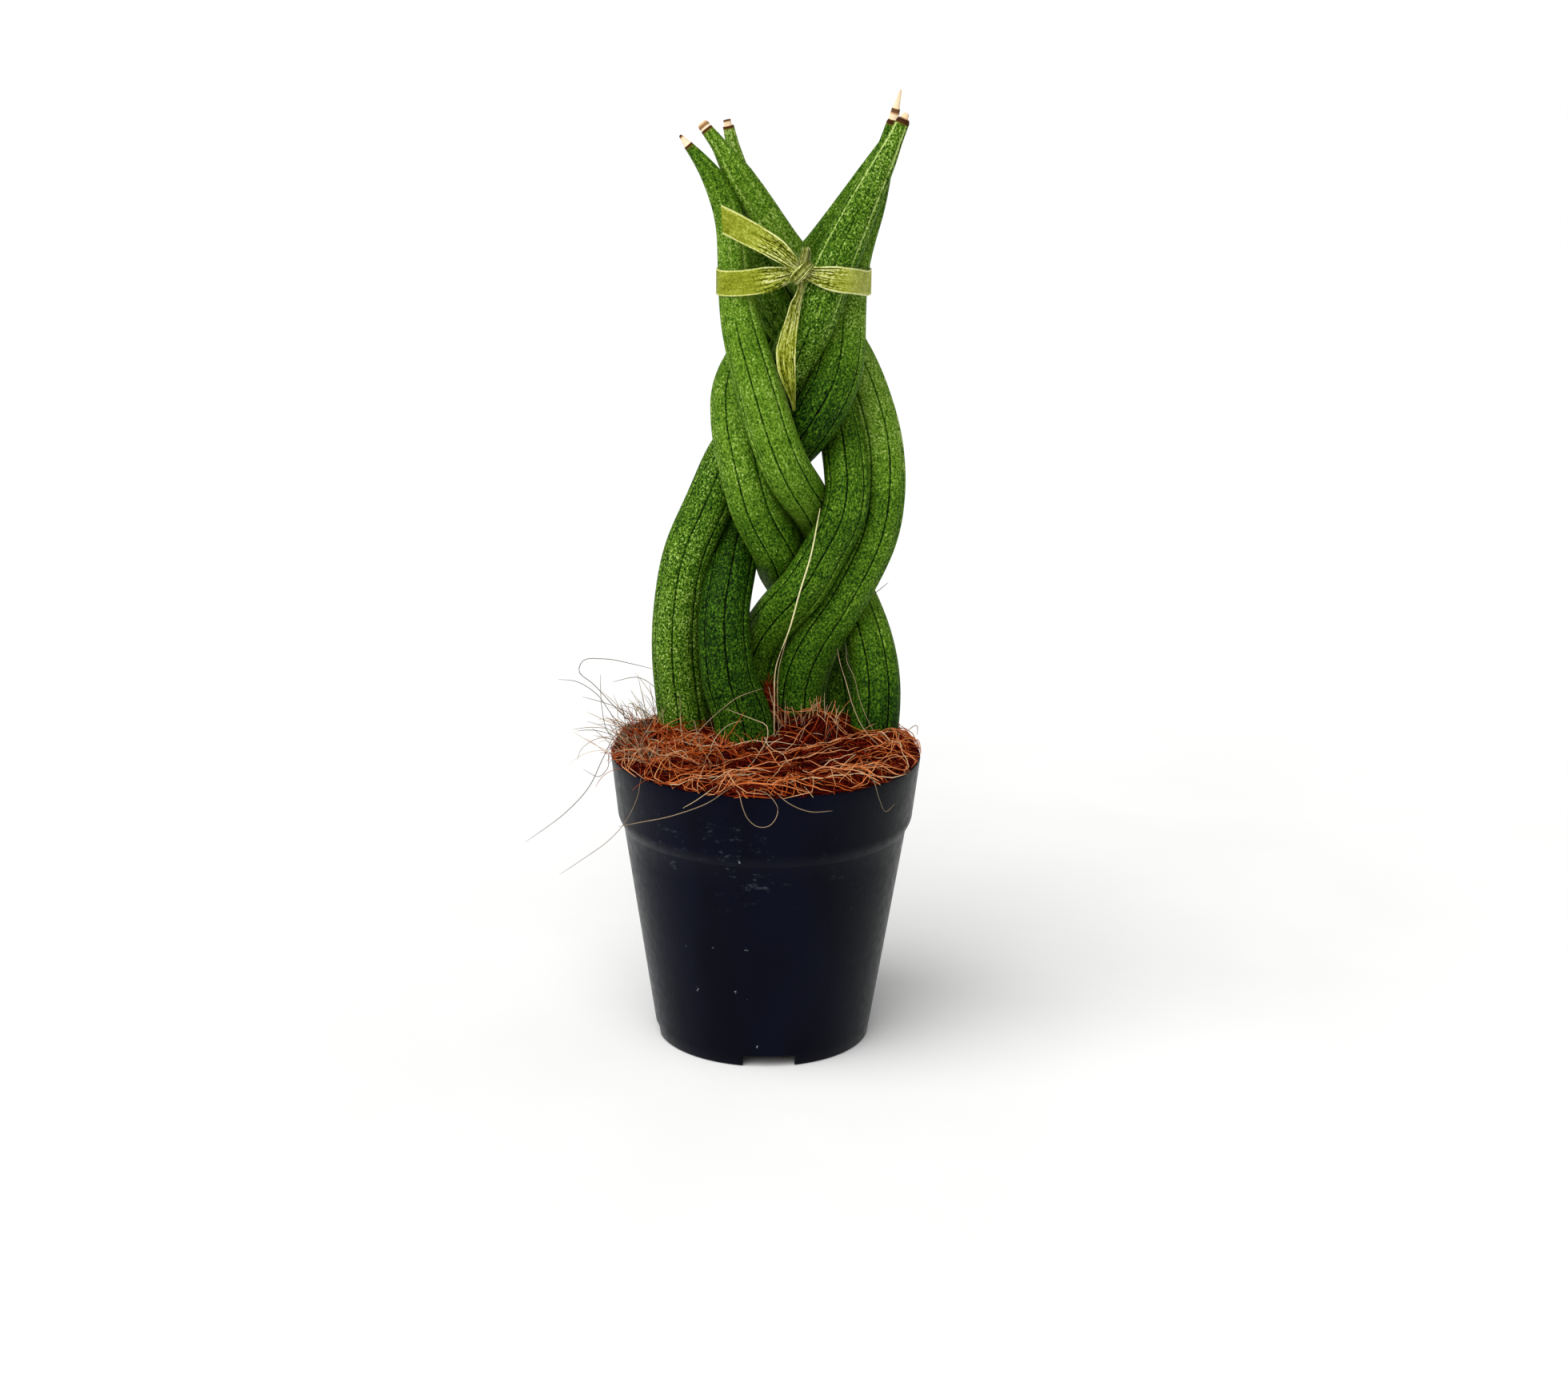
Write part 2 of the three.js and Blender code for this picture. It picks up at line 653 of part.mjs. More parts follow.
place("pot", geometryOf(potSolid()), potPlastic);
place("soil", geometryOf(soilSolid()), soilMix);
place("coir", geometryOf(coirSolid()), coirFibre);
leaves.forEach((leaf) => place(leaf.name, leafGeometry(leaf), leafSkin(leaf.color)));
place("ribbon", geometryOf(ribbonSolid()), satin);

export default plant;
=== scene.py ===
"""The looks of a braided cylindrical snake plant in its nursery pot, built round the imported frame.

Lengths are in millimetres, and MM turns them into the frame's metres. +Z is up and -Y is the
plant's front. Colours are written as sRGB, 0 to 255.
"""

import math

import bmesh
import bpy
import numpy as np
from mathutils import Matrix, Vector, geometry


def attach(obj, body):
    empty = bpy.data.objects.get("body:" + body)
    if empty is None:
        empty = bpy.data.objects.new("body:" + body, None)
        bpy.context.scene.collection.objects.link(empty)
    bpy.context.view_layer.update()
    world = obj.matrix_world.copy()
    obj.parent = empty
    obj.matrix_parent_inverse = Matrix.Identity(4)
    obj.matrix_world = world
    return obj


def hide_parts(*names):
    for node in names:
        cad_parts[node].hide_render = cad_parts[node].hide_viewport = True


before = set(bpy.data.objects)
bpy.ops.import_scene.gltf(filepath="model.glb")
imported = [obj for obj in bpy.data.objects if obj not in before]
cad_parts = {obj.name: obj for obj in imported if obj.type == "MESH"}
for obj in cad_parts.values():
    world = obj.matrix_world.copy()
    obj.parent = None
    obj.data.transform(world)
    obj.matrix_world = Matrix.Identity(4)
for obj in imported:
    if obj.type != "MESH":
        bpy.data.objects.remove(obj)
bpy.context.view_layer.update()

MM = 0.001
UP = np.array([0.0, 0.0, 1.0])
FORWARD = np.array([0.0, -1.0, 0.0])

# ------------------------------------------------------------------ sizes

POT_SIDES = 192
POT_HEIGHT = 57.0
RIM_RADIUS = 29.9
COLLAR_RADIUS = 28.6
NECK_RADIUS = 27.4
FOOT_RADIUS = 20.8
WALL = 0.9
FLOOR_THICKNESS = 1.2
COLLAR_HEIGHT = 14.4
COLLAR_SHOULDER = 3.2
EDGE_ROUNDING = 0.4
EDGE_BEVEL = 0.12  # half way round such an edge
DRAIN_COUNT = 4
DRAIN_WIDTH = 10.0
DRAIN_HEIGHT = 2.3
DRAIN_DEPTH = 5.5
DRAIN_TURN = math.radians(-86)
CREASE_ANGLE = math.radians(32)  # faces that meet at less are shaded smooth

RIB_COUNT = 7  # round each leaf
RIB_STEPS = (0, 0.03, 0.07, 0.13, 0.22, 0.34, 0.5, 0.66, 0.78, 0.87, 0.93, 0.97)
RIB_CROWN = 0.03  # how far a rib bulges, as a share of the leaf's radius
FURROW_DEPTH = 0.3
FURROW_WIDTH = 0.24
LEAF_WAVES = 0.004  # how unevenly a leaf has grown, as a share of its radius
# Default strength of the pale painted highlight along a leaf's furrows near its tip.
FAINT_RIDGE = 0.12
LEAF_STEP = 0.7  # between the rings along a leaf
LEAF_SWELL = 0.2  # closes the clearance between leaves that press on each other
SWELL_FADE = 30  # length over which that ends towards the tip
BROWNED = 0.9  # length of green that browns next to a dry tip
BROWN = 0.6  # how dry it gets there
UPPER = (98, 116)  # distances between which a leaf's furrows turn from dark lines to a pale painted highlight
LOW_LEAVES = 78  # height up to which the leaves hold the coir's fibres off
LINE_STEP = 0.8  # along the lines that keep the coir and the ribbon clear of the leaves

MAT_RADIUS = 28.5
MAT_BOTTOM = 52.2
MAT_NARROWING = 0.985  # towards its underside
MAT_RINGS = 70
MAT_SIDES = 220
MAT_EDGE = 56.8  # height at the rim
MAT_RISE = 1.2
MAT_SINK = 0.35  # its body lies this far under its fibres
MAT_GAP = 0.15  # between its body and a leaf
FIBRE_GAP = 0.12  # between a fibre and a leaf
FOOT_GAP = 0.1  # between a fibre's foot and a leaf
FIBRE_SEED = 11
FUZZ_COUNT = 4600
TANGLE_COUNT = 1700
SPRUNG_ROWS = 10  # points along a sprig, and along a fibre of a tuft
STRAW_ROWS = 40

RIBBON_WIDTH = 4.75
RIBBON_THICKNESS = 0.25
RIBBON_POINTS = 25  # across it
BAND_STEP = 0.35
TAIL_STEP = 0.4
STRAP_STEP = 0.2
BAND_PLEATS = 0.4
STRAP_PLEATS = 0.22
BAND_LEFT = 147.2
BAND_RIGHT = 146.4
BAND_RISES = (18.0, 15.0)  # lengths over which the band rises to the knot, right and left
# Where the band is lifted over a leaf: [x, y, lift, lean, reach].
BAND_LIFTS = [[1.1, 25.9, 1.0, 0.16, 7], [11.5, 24, 0.35, 0, 4], [17, 8, 0.35, 0, 7]]
BAND_LIFT = 0.6  # on its way up to the knot
BAND_GATHER = 7.0  # length over which it narrows
BAND_GATHERED = 2.0
KNOT_HEIGHT = 149.8
KNOT_PLACE = 5.4
KNOT_CORE = (5.4, -0.7, 149.7)  # its middle, with y from the band's front
KNOT_SIZE = (1.45, 1.1, 1.45)
KNOT_SIDES = 20

FLOOR_HALF = 12.0  # metres
CAMERA_TARGET = (3.35, 0, 69.5)
CAMERA_DISTANCE = 550
CAMERA_ELEVATION = math.radians(15.78)
CAMERA_ROLL = math.radians(0.79)
CAMERA_LENS = 65.74
SKY_STRENGTH = 0.38
SUN_TOWARDS = (-0.55, -0.8, 1.3)
SUN_SPREAD = math.radians(70)
SUN_STRENGTH = 3.0

# ------------------------------------------------------------------ meshes


def put_object(name, data):
    thing = bpy.data.objects.new(name, data)
    bpy.context.scene.collection.objects.link(thing)
    return thing


def put_mesh(name, points, faces, look, replaced=None, values=None):
    """A piece of the object from points in millimetres, riding on the frame."""
    mesh = bpy.data.meshes.new(name)
    mesh.from_pydata((np.asarray(points, float) * MM).tolist(), [], faces)
    mesh.validate()
    for key, data in (values or {}).items():
        data = np.asarray(data, np.float32)
        kind = "FLOAT_VECTOR" if data.ndim == 2 else "FLOAT"
        layer = mesh.attributes.new(key, kind, "POINT")
        layer.data.foreach_set("vector" if data.ndim == 2 else "value", data.ravel())
    mesh.shade_smooth()
    mesh.materials.append(look)
    piece = put_object(name, mesh)
    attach(piece, "root")
    if replaced:
        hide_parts(replaced)
    return piece


def skin_faces(rows, around, start=0):
    """Faces over rows of points, whose two end points come straight after them."""
    first = start + rows * around
    last = first + 1
    top = start + (rows - 1) * around
    faces = []
    for i in range(around):
        after = (i + 1) % around
        faces.append((first, start + after, start + i))
        faces.append((last, top + i, top + after))
        for row in range(rows - 1):
            low = start + row * around
            high = low + around
            faces.append((low + i, low + after, high + after, high + i))
    return faces


def skin(rings):
    """Points and faces of a closed skin over rings, an array of rows by points by 3."""
    rows, around = rings.shape[:2]
    ends = [rings[0].mean(0), rings[-1].mean(0)]
    return np.vstack([rings.reshape(-1, 3), ends]), skin_faces(rows, around)


def on_skin(values, around):
    """One value a ring, given to each point of a skin and to its two ends."""
    return np.append(np.repeat(values, around), values[[0, -1]])


def xyz(x, y, z):
    """Points from their parts, which are repeated to fit each other."""
    return np.stack(np.broadcast_arrays(x, y, z), axis=-1)


def headed(turns):
    """Level directions of [x, y] at the given turns."""
    return np.stack([np.cos(turns), np.sin(turns)], axis=-1)


def circle(count):
    """The cosine and sine of each of evenly spaced turns."""
    return headed(np.arange(count) * 2 * math.pi / count).T


def unit(vectors):
    return vectors / np.maximum(np.linalg.norm(vectors, axis=-1, keepdims=True), 1e-9)


def along(points):
    """Distance along a line of points, from its start."""
    return np.concatenate([[0], np.cumsum(np.linalg.norm(np.diff(points, axis=0), axis=1))])


def smooth_line(points, places):
    """Points at distances along a smooth curve through the given ones."""
    points = np.asarray(points, float)
    at = along(points)
    slopes = np.gradient(points, at, axis=0)
    k = np.clip(np.searchsorted(at, places, side="right") - 1, 0, len(at) - 2)
    span = (at[k + 1] - at[k])[:, None]
    t = ((places - at[k]) / span[:, 0])[:, None]
    return (
        (2 * t**3 - 3 * t**2 + 1) * points[k]
        + (t**3 - 2 * t**2 + t) * span * slopes[k]
        + (3 * t**2 - 2 * t**3) * points[k + 1]
        + (t**3 - t**2) * span * slopes[k + 1]
    )


def evenly(points, step):
    """A smooth curve through points, sampled about every step."""
    length = along(np.asarray(points, float))[-1]
    return smooth_line(points, np.linspace(0, length, max(2, round(length / step) + 1)))


def carried_frames(line, first_side):
    """Two directions across a line at each of its points, turned no more than it turns."""
    ahead = unit(np.gradient(line, axis=0))
    side = np.asarray(first_side, float)
    sides = []
    for direction in ahead:
        side = unit(side - side.dot(direction) * direction)
        sides.append(side)
    sides = np.array(sides)
    return sides, np.cross(ahead, sides)


def smoothstep(value, low, high):
    t = np.clip((value - low) / (high - low), 0, 1)
    return t * t * (3 - 2 * t)


# ------------------------------------------------------------------ materials


def rgb(red, green, blue):
    """An sRGB colour, 0 to 255, as linear RGBA."""
    parts = [c / 255 for c in (red, green, blue)]
    return tuple(c / 12.92 if c <= 0.04045 else ((c + 0.055) / 1.055) ** 2.4 for c in parts) + (1.0,)


class Look:
    """A material's node tree, grown step by step."""

    def __init__(self, name, roughness=0.5, specular=0.5):
        self.material = bpy.data.materials.new(name)
        self.material.use_nodes = True
        self.tree = self.material.node_tree
        self.shader = self.tree.nodes["Principled BSDF"]
        self.shader.inputs["Roughness"].default_value = roughness
        self.shader.inputs["Specular IOR Level"].default_value = specular

    def node(self, kind, inputs=None, **settings):
        node = self.tree.nodes.new(kind)
        for key, value in settings.items():
            setattr(node, key, value)
        for key, value in (inputs or {}).items():
            self.plug(node.inputs[key], value)
        return node

    def plug(self, socket, value):
        if isinstance(value, bpy.types.NodeSocket):
            self.tree.links.new(value, socket)
        else:
            socket.default_value = value

    def set(self, key, value):
        self.plug(self.shader.inputs[key], value)

    def value(self, name):
        return self.node("ShaderNodeAttribute", attribute_name=name).outputs["Fac"]

    def vector(self, name):
        return self.node("ShaderNodeAttribute", attribute_name=name).outputs["Vector"]

    def place(self):
        """The surface point in the frame, in millimetres."""
        point = self.node("ShaderNodeTexCoord").outputs["Object"]
        return self.scaled(point, (1 / MM,) * 3)

    def scaled(self, vector, scale):
        node = self.node("ShaderNodeVectorMath", {0: vector, 1: scale}, operation="MULTIPLY")
        return node.outputs["Vector"]

    def noise(self, vector, scale, detail=2.0, roughness=0.5):
        """Noise with features of about 1 / scale millimetres, where scale may differ by axis."""
        if isinstance(scale, tuple):
            vector, scale = self.scaled(vector, scale), 1.0
        inputs = {"Vector": vector, "Scale": scale, "Detail": detail, "Roughness": roughness}
        return self.node("ShaderNodeTexNoise", inputs).outputs["Fac"]

    def cells(self, vector, scale):
        return self.node("ShaderNodeTexVoronoi", {"Vector": vector, "Scale": scale}).outputs["Distance"]

    def wave(self, vector, scale, distortion, direction):
        inputs = {"Vector": vector, "Scale": scale, "Distortion": distortion}
        return self.node("ShaderNodeTexWave", inputs, bands_direction=direction).outputs["Fac"]

    def math(self, operation, a, b=0.0, clamp=False):
        node = self.node("ShaderNodeMath", {0: a, 1: b}, operation=operation, use_clamp=clamp)
        return node.outputs["Value"]

    def plus(self, a, b):
        return self.math("ADD", a, b)

    def times(self, a, b):
        return self.math("MULTIPLY", a, b)

    def ranged(self, value, low, high, to_low=0.0, to_high=1.0):
        """The value's place between low and high, eased, between two new limits."""
        inputs = {"Value": value, "From Min": low, "From Max": high}
        inputs |= {"To Min": to_low, "To Max": to_high}
        node = self.node("ShaderNodeMapRange", inputs, interpolation_type="SMOOTHSTEP")
        return node.outputs["Result"]

    def sway(self, value, noise, amount):
        """The value moved up and down by a noise about 0.5."""
        inputs = {0: noise, 1: amount, 2: -amount / 2}
        move = self.node("ShaderNodeMath", inputs, operation="MULTIPLY_ADD").outputs["Value"]
        return self.plus(value, move)

    def mix(self, share, a, b):
        node = self.node("ShaderNodeMix", data_type="RGBA")
        self.plug(node.inputs[0], share)
        self.plug(node.inputs[6], a)
        self.plug(node.inputs[7], b)
        return node.outputs[2]

    def ramp(self, value, stops):
        """A colour from a value, by stops of [place, sRGB colour]."""
        node = self.node("ShaderNodeValToRGB", {"Fac": value})
        elements = node.color_ramp.elements
        while len(elements) < len(stops):
            elements.new(0.5)
        for element, (place, colour) in zip(elements, stops):
            element.position = place
            element.color = rgb(*colour)
        return node.outputs["Color"]

    def bump(self, height, distance, normal=None):
        """Relief of the given height in millimetres, over that of normal where it is given."""
        inputs = {"Height": height, "Distance": distance * MM, "Strength": 1.0}
        if normal is not None:
            inputs["Normal"] = normal
        return self.node("ShaderNodeBump", inputs).outputs["Normal"]


# ------------------------------------------------------------------ leaves

# turn places a leaf's furrows round it, in degrees, and twist turns them further, as [distance,
# degrees]. dry_rings are the frame's rings past the green. fit eases a leaf against its
# neighbours, as [height, shift in X, added radius]. greens gives the skin's brightness as
# [distance from the foot, place in GREENS], partly the leaf's own green and partly painted light
# and shade. grain gives how strongly it is mottled, flecks how many pale flecks it has, and ridge
# how strong the pale painted highlight along its furrows is near the tip, where that isn't
# FAINT_RIDGE. The furrows in plain stay dark. tip gives [distance past the green, radius,
# dryness] along the dry end: 0.6 is brown and 1 is cream.
LEAVES = {
    "leaf_a1": {
        "turn": 28, "dry_rings": 2, "grain": 2.7, "flecks": 1.0, "ridge": 0.42,
        "twist": [[88, 0], [122, -22]], "plain": [4],
        "fit": [
            [54, 0, 0], [60, 0.5, 0], [100, 0.6, -0.05], [112, 0, 0], [126, 0, 0], [133, 0.6, -0.3],
            [137, 0.6, -0.3], [144, 0, 0], [166, 0, 0], [173, 0.15, 0.15],
        ],
        "greens": [
            [0, 0.45], [30, 0.49], [45, 0.46], [60, 0.43], [90, 0.45], [105, 0.45], [120, 0.45], [145, 0.53],
        ],
        "tip": [
            [0.3, 1.15, 0.5], [0.45, 1.1, 0.6], [0.6, 0.85, 0.75], [0.75, 0.68, 0.9], [1.4, 0.6, 0.9],
            [1.6, 0.4, 0.85],
        ],
    },
    "leaf_a2": {
        "turn": 43, "dry_rings": 3, "grain": 2.2, "flecks": 0.5,
        "fit": [
            [60, 0, 0.1], [118, 0, 0], [130, -0.5, 0], [144, -0.5, 0], [152, 0, 0], [162, 0, 0],
            [168, -0.15, 0.15], [176, -0.1, 0.1],
        ],
        "greens": [
            [0, 0.36], [30, 0.31], [45, 0.27], [75, 0.38], [90, 0.29], [105, 0.61], [120, 0.57], [140, 0.4],
        ],
        "tip": [
            [0.35, 0.95, 0.3], [0.5, 0.86, 0.95], [1.3, 0.84, 1], [1.6, 0.84, 0.8], [1.9, 0.82, 0.62],
            [2.5, 0.8, 0.6], [2.6, 0.66, 0.9], [3.3, 0.55, 0.95], [4.6, 0.36, 0.93], [5.7, 0.2, 0.85],
            [6.2, 0.06, 0.8],
        ],
    },
    "leaf_b1": {
        "turn": 23, "dry_rings": 1, "grain": 2.2, "flecks": 0.3,
        "fit": [
            [60, 0, 0], [68, 0.05, 0.35], [78, 0.05, 0.4], [85, -0.35, 0.4], [91, -0.2, 0.3], [99, 0, 0],
            [160, 0, 0], [167, -0.25, 0.12], [175, -0.3, 0.1],
        ],
        "greens": [
            [0, 0.45], [30, 0.46], [45, 0.44], [60, 0.43], [75, 0.48], [105, 0.5], [120, 0.6], [140, 0.68],
        ],
        "tip": [[0.05, 0.74, 0.8], [0.15, 0.7, 1], [0.75, 0.7, 1], [0.95, 0.74, 0.62], [1.2, 0.66, 0.6]],
    },
    "leaf_b2": {
        "turn": 50, "dry_rings": 1, "grain": 2.1, "flecks": 0.35,
        "fit": [
            [60, 0, 0.2], [68, -0.1, 0.3], [78, -0.1, 0.3], [85, 0, 0], [93, -0.55, 0], [104, -0.55, 0],
            [112, -0.35, 0], [120, -0.5, 0], [133, -0.9, 0], [142, 0, 0], [160, 0, 0.3],
            [166, -0.2, 0.7], [170, 0.1, 0.4], [172.5, 0.2, 0.25], [174.6, 0, 0],
        ],
        "greens": [
            [0, 0.34], [15, 0.34], [30, 0.42], [45, 0.47], [60, 0.49], [75, 0.67], [110, 0.67], [140, 0.57],
        ],
        "tip": [[0.1, 1.0, 0.95], [0.4, 1.05, 1], [0.55, 1.1, 0.66], [0.9, 1.08, 0.7], [1.4, 0.85, 0.9]],
    },
    "leaf_c1": {
        "turn": 17, "dry_rings": 2, "grain": 1.9, "flecks": 0.35,
        "fit": [[140, 0, 0], [150, 0.35, 0.05], [160, 0.5, 0.3], [167, 0.5, 0.42], [172, 0, 0.05]],
        "greens": [
            [0, 0.28], [15, 0.28], [32, 0.55], [60, 0.57], [75, 0.56], [90, 0.63], [105, 0.6],
            [120, 0.62], [140, 0.43],
        ],
        "tip": [[0.1, 0.72, 0.97], [0.8, 0.6, 1], [1.6, 0.42, 0.95], [2, 0.34, 0.6], [2.3, 0.2, 0.5]],
    },
    "leaf_c2": {
        "turn": 18, "dry_rings": 1, "grain": 2.0, "flecks": 0.6,
        "fit": [
            [85, 0, 0], [90, -0.5, 0.3], [94, -0.5, 0.3], [100, 0, 0], [118, 0, 0], [124, 0.5, 0],
            [128, 1.1, 0], [132, 1.4, 0], [137, 0.8, 0], [144, 0, 0],
        ],
        "greens": [
            [0, 0.4], [25, 0.42], [45, 0.47], [60, 0.47], [75, 0.58], [100, 0.55], [120, 0.51], [145, 0.47],
        ],
        "tip": [[0.1, 0.78, 0.6], [0.6, 0.6, 0.8], [1.6, 0.35, 0.85]],
    },
}

# The leaves' greens, from the dark of a furrow to the pale of a fleck.
GREENS = [
    [0.05, (4, 12, 2)], [0.25, (22, 50, 6)], [0.38, (40, 76, 10)], [0.52, (68, 104, 18)],
    [0.65, (92, 130, 26)], [0.78, (122, 156, 48)], [1.0, (190, 208, 128)],
]


def leaf_rings(node):
    """The rings of a CAD leaf, from its foot up, each from the same ridge onwards."""
    sides = 2 * RIB_COUNT
    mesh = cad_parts[node].data
    places = np.array([v.co for v in mesh.vertices]) / MM
    corners, inverse = np.unique(places.round(3), axis=0, return_inverse=True)
    near = {}
    for polygon in mesh.polygons:
        around = [int(inverse.ravel()[v]) for v in polygon.vertices]
        for a, b in zip(around, around[1:] + around[:1]):
            near.setdefault(a, set()).add(b)
            near.setdefault(b, set()).add(a)
    # Only the middle of an end has as many neighbours as a ring has points.
    foot = min((c for c in near if len(near[c]) == sides), key=lambda c: corners[c][2])
    done = {foot}
    ring = near[foot]
    rings = []
    while len(ring) == sides:
        middle = corners[list(ring)].mean(0)
        reach = {c: np.linalg.norm(corners[c] - middle) for c in ring}
        order = [max(near[rings[-1][0]] & ring if rings else ring, key=reach.get)]
        while len(order) < sides:
            order.append(next(c for c in sorted(near[order[-1]] & ring) if c not in order))
        rings.append(order)
        done |= ring
        ring = set().union(*(near[c] for c in order)) - done
    return np.array([[corners[c] for c in order] for order in rings])


def leaf_axis(name):
    """A leaf's middle line up to the end of its green, its radius there, and its first ridge."""
    rings = leaf_rings(name)[: -LEAVES[name]["dry_rings"]]
    middles = rings.mean(1)
    reach = np.linalg.norm(rings - middles[:, None], axis=2).max(1)
    ridge = rings[0][0] - middles[0]
    fit = np.array(LEAVES[name]["fit"])
    reach += np.interp(middles[:, 2], fit[:, 0], fit[:, 2])
    middles[:, 0] += np.interp(middles[:, 2], fit[:, 0], fit[:, 1])
    return middles, reach, ridge


def leaf_profile(spec, radii, dry, distance):
    """Each point's angle, distance from the middle line, furrow, and pale furrow near the tip."""
    sector = 2 * math.pi / RIB_COUNT
    shares = np.array(RIB_STEPS)
    angles = (np.arange(RIB_COUNT)[:, None] + 0.5 + shares).ravel() * sector
    twist = np.array(spec.get("twist", [[0, 0]]))
    angles = angles + np.radians(spec["turn"] + np.interp(distance, twist[:, 0], twist[:, 1]))[:, None]
    share = np.tile(shares, RIB_COUNT)
    number = (np.repeat(np.arange(RIB_COUNT), len(shares)) + (share > 0.5)) % RIB_COUNT
    from_furrow = np.minimum(share, 1 - share)[None] * sector * radii[:, None]
    size = np.minimum(radii / 3, 1)[:, None] * (1 - smoothstep(dry, 0.2, 0.7))[:, None]
    furrow = np.exp(-((from_furrow / FURROW_WIDTH) ** 2))
    crown = np.sin(np.pi * share)[None] ** 0.8
    waves = np.sin(distance / 3.1)[:, None] * np.cos(angles) + np.sin(distance / 5.3 + 2)[:, None]
    reach = radii[:, None] * (1 - RIB_CROWN * size * (1 - crown) + LEAF_WAVES * waves * size)
    shown = furrow * (size > 0)
    pale = shown * ~np.isin(number, spec.get("plain", []))
    return angles, reach - FURROW_DEPTH * size * furrow, shown, pale


def make_leaf(name):
    spec = LEAVES[name]
    middles, reach, ridge = leaf_axis(name)
    at = along(middles)
    steps = round(at[-1] / LEAF_STEP)
    places = np.linspace(0, at[-1], steps + 1)
    line = smooth_line(middles, places)
    left = at[-1] - places
    radii = np.interp(places, at, reach) + LEAF_SWELL * smoothstep(left, 0, SWELL_FADE)
    dry = BROWN * (1 - smoothstep(left, 0, BROWNED))
    ahead = unit(line[-1] - line[-2])
    tip = np.array(spec["tip"])
    line = np.vstack([line, line[-1] + tip[:, :1] * ahead])
    radii = np.concatenate([radii, tip[:, 1]])
    dry = np.concatenate([dry, tip[:, 2]])
    distance = along(line)
    angles, profile, furrow, pale = leaf_profile(spec, radii, dry, distance)
    around = angles.shape[1]
    sides, across = carried_frames(line, ridge)
    flat = profile[..., None] * (
        np.cos(angles)[..., None] * sides[:, None] + np.sin(angles)[..., None] * across[:, None]
    )
    points, faces = skin(line[:, None] + flat)
    straight = xyz(profile * np.cos(angles), profile * np.sin(angles), distance[:, None])
    # The brightness along the leaf, from greens, is partly the leaf's own green and partly painted light and
    # shade.
    stations = np.array(spec["greens"])
    values = {
        "straight": np.vstack([straight.reshape(-1, 3), [0, 0, 0], [0, 0, distance[-1]]]),
        "tone": on_skin(np.interp(distance, stations[:, 0], stations[:, 1]), around),
        "furrow": np.append(furrow, [0, 0]),
        "pale": np.append(pale, [0, 0]),
        "dry": on_skin(dry, around),
        "upper": on_skin(smoothstep(distance, *UPPER), around),
    }
    put_mesh(name + "_skin", points, faces, leaf_look(name, spec), name, values)


def leaf_look(name, spec):
    look = Look(name + "_skin", specular=0.04)
    ridge = spec.get("ridge", FAINT_RIDGE)
    straight = look.vector("straight")
    tone = look.sway(look.value("tone"), look.noise(straight, (0.14, 0.14, 0.05), 3), 0.2)
    # Faint bands cross the leaf, and finer streaks run along it.
    bands = look.noise(straight, (0.13, 0.13, 0.45), 3, 0.6)
    tone = look.sway(tone, bands, 0.26)
    tone = look.sway(tone, look.noise(straight, (1.3, 1.3, 0.1), 3), 0.2)
    grain = look.noise(straight, 2.5, 4, 0.75)
    tone = look.sway(tone, grain, spec["grain"])
    flecks = look.noise(look.scaled(straight, (1, 1, 0.8)), 3.0, 2, 0.6)
    patches = look.ranged(look.noise(straight, 0.16, 2), 0.4, 0.62, 0.35, 1)
    shown = look.times(look.ranged(flecks, 0.52, 0.68, 0, 0.42 * spec["flecks"]), patches)
    tone = look.plus(tone, shown)
    # A dark line runs in each furrow, between shoulders paled by a painted highlight. It fades out near the
    # tip.
    furrow = look.value("furrow")
    upper = look.value("upper")
    shoulder = look.times(look.ranged(furrow, 0.0, 0.2), look.ranged(furrow, 0.6, 0.3))
    tone = look.plus(tone, look.times(shoulder, 0.07))
    broken = look.sway(furrow, look.noise(straight, 1.4, 3, 0.6), 1.1)
    darker = look.times(look.ranged(broken, 0.3, 1.0), look.ranged(upper, 0, 0.9, 0.34, 0))
    tone = look.math("SUBTRACT", tone, darker)
    # Near the tip a pale painted highlight runs along the furrows instead, edged darker.
    pale = look.value("pale")
    painted_tip_highlight = look.times(look.ranged(pale, 0.18, 0.65), look.ranged(upper, 0.3, 1, 0, ridge))
    tone = look.plus(tone, painted_tip_highlight)
    border = look.times(look.ranged(pale, 0.0, 0.07), look.ranged(pale, 0.22, 0.08))
    darkened = look.times(border, look.ranged(upper, 0.3, 1, 0, 0.4 * ridge))
    tone = look.math("SUBTRACT", tone, darkened)
    green = look.ramp(tone, GREENS)
    dry = look.value("dry")
    ragged = look.math("ADD", dry, look.times(look.noise(straight, 3.0, 2), 0.1), clamp=True)
    bark = look.ramp(ragged, [
        [0.25, (96, 92, 26)], [0.45, (74, 42, 14)], [0.62, (52, 26, 10)],
        [0.8, (186, 140, 98)], [0.93, (240, 208, 164)], [1.0, (250, 226, 190)],
    ])
    look.set("Base Color", look.mix(look.ranged(dry, 0.03, 0.3), green, bark))
    look.set("Roughness", look.ranged(grain, 0.3, 0.7, 0.5, 0.68))
    relief = look.plus(look.times(grain, 0.6), look.times(flecks, 0.5))
    look.set("Normal", look.bump(relief, 0.16))
    return look.material


# ------------------------------------------------------------------ pot


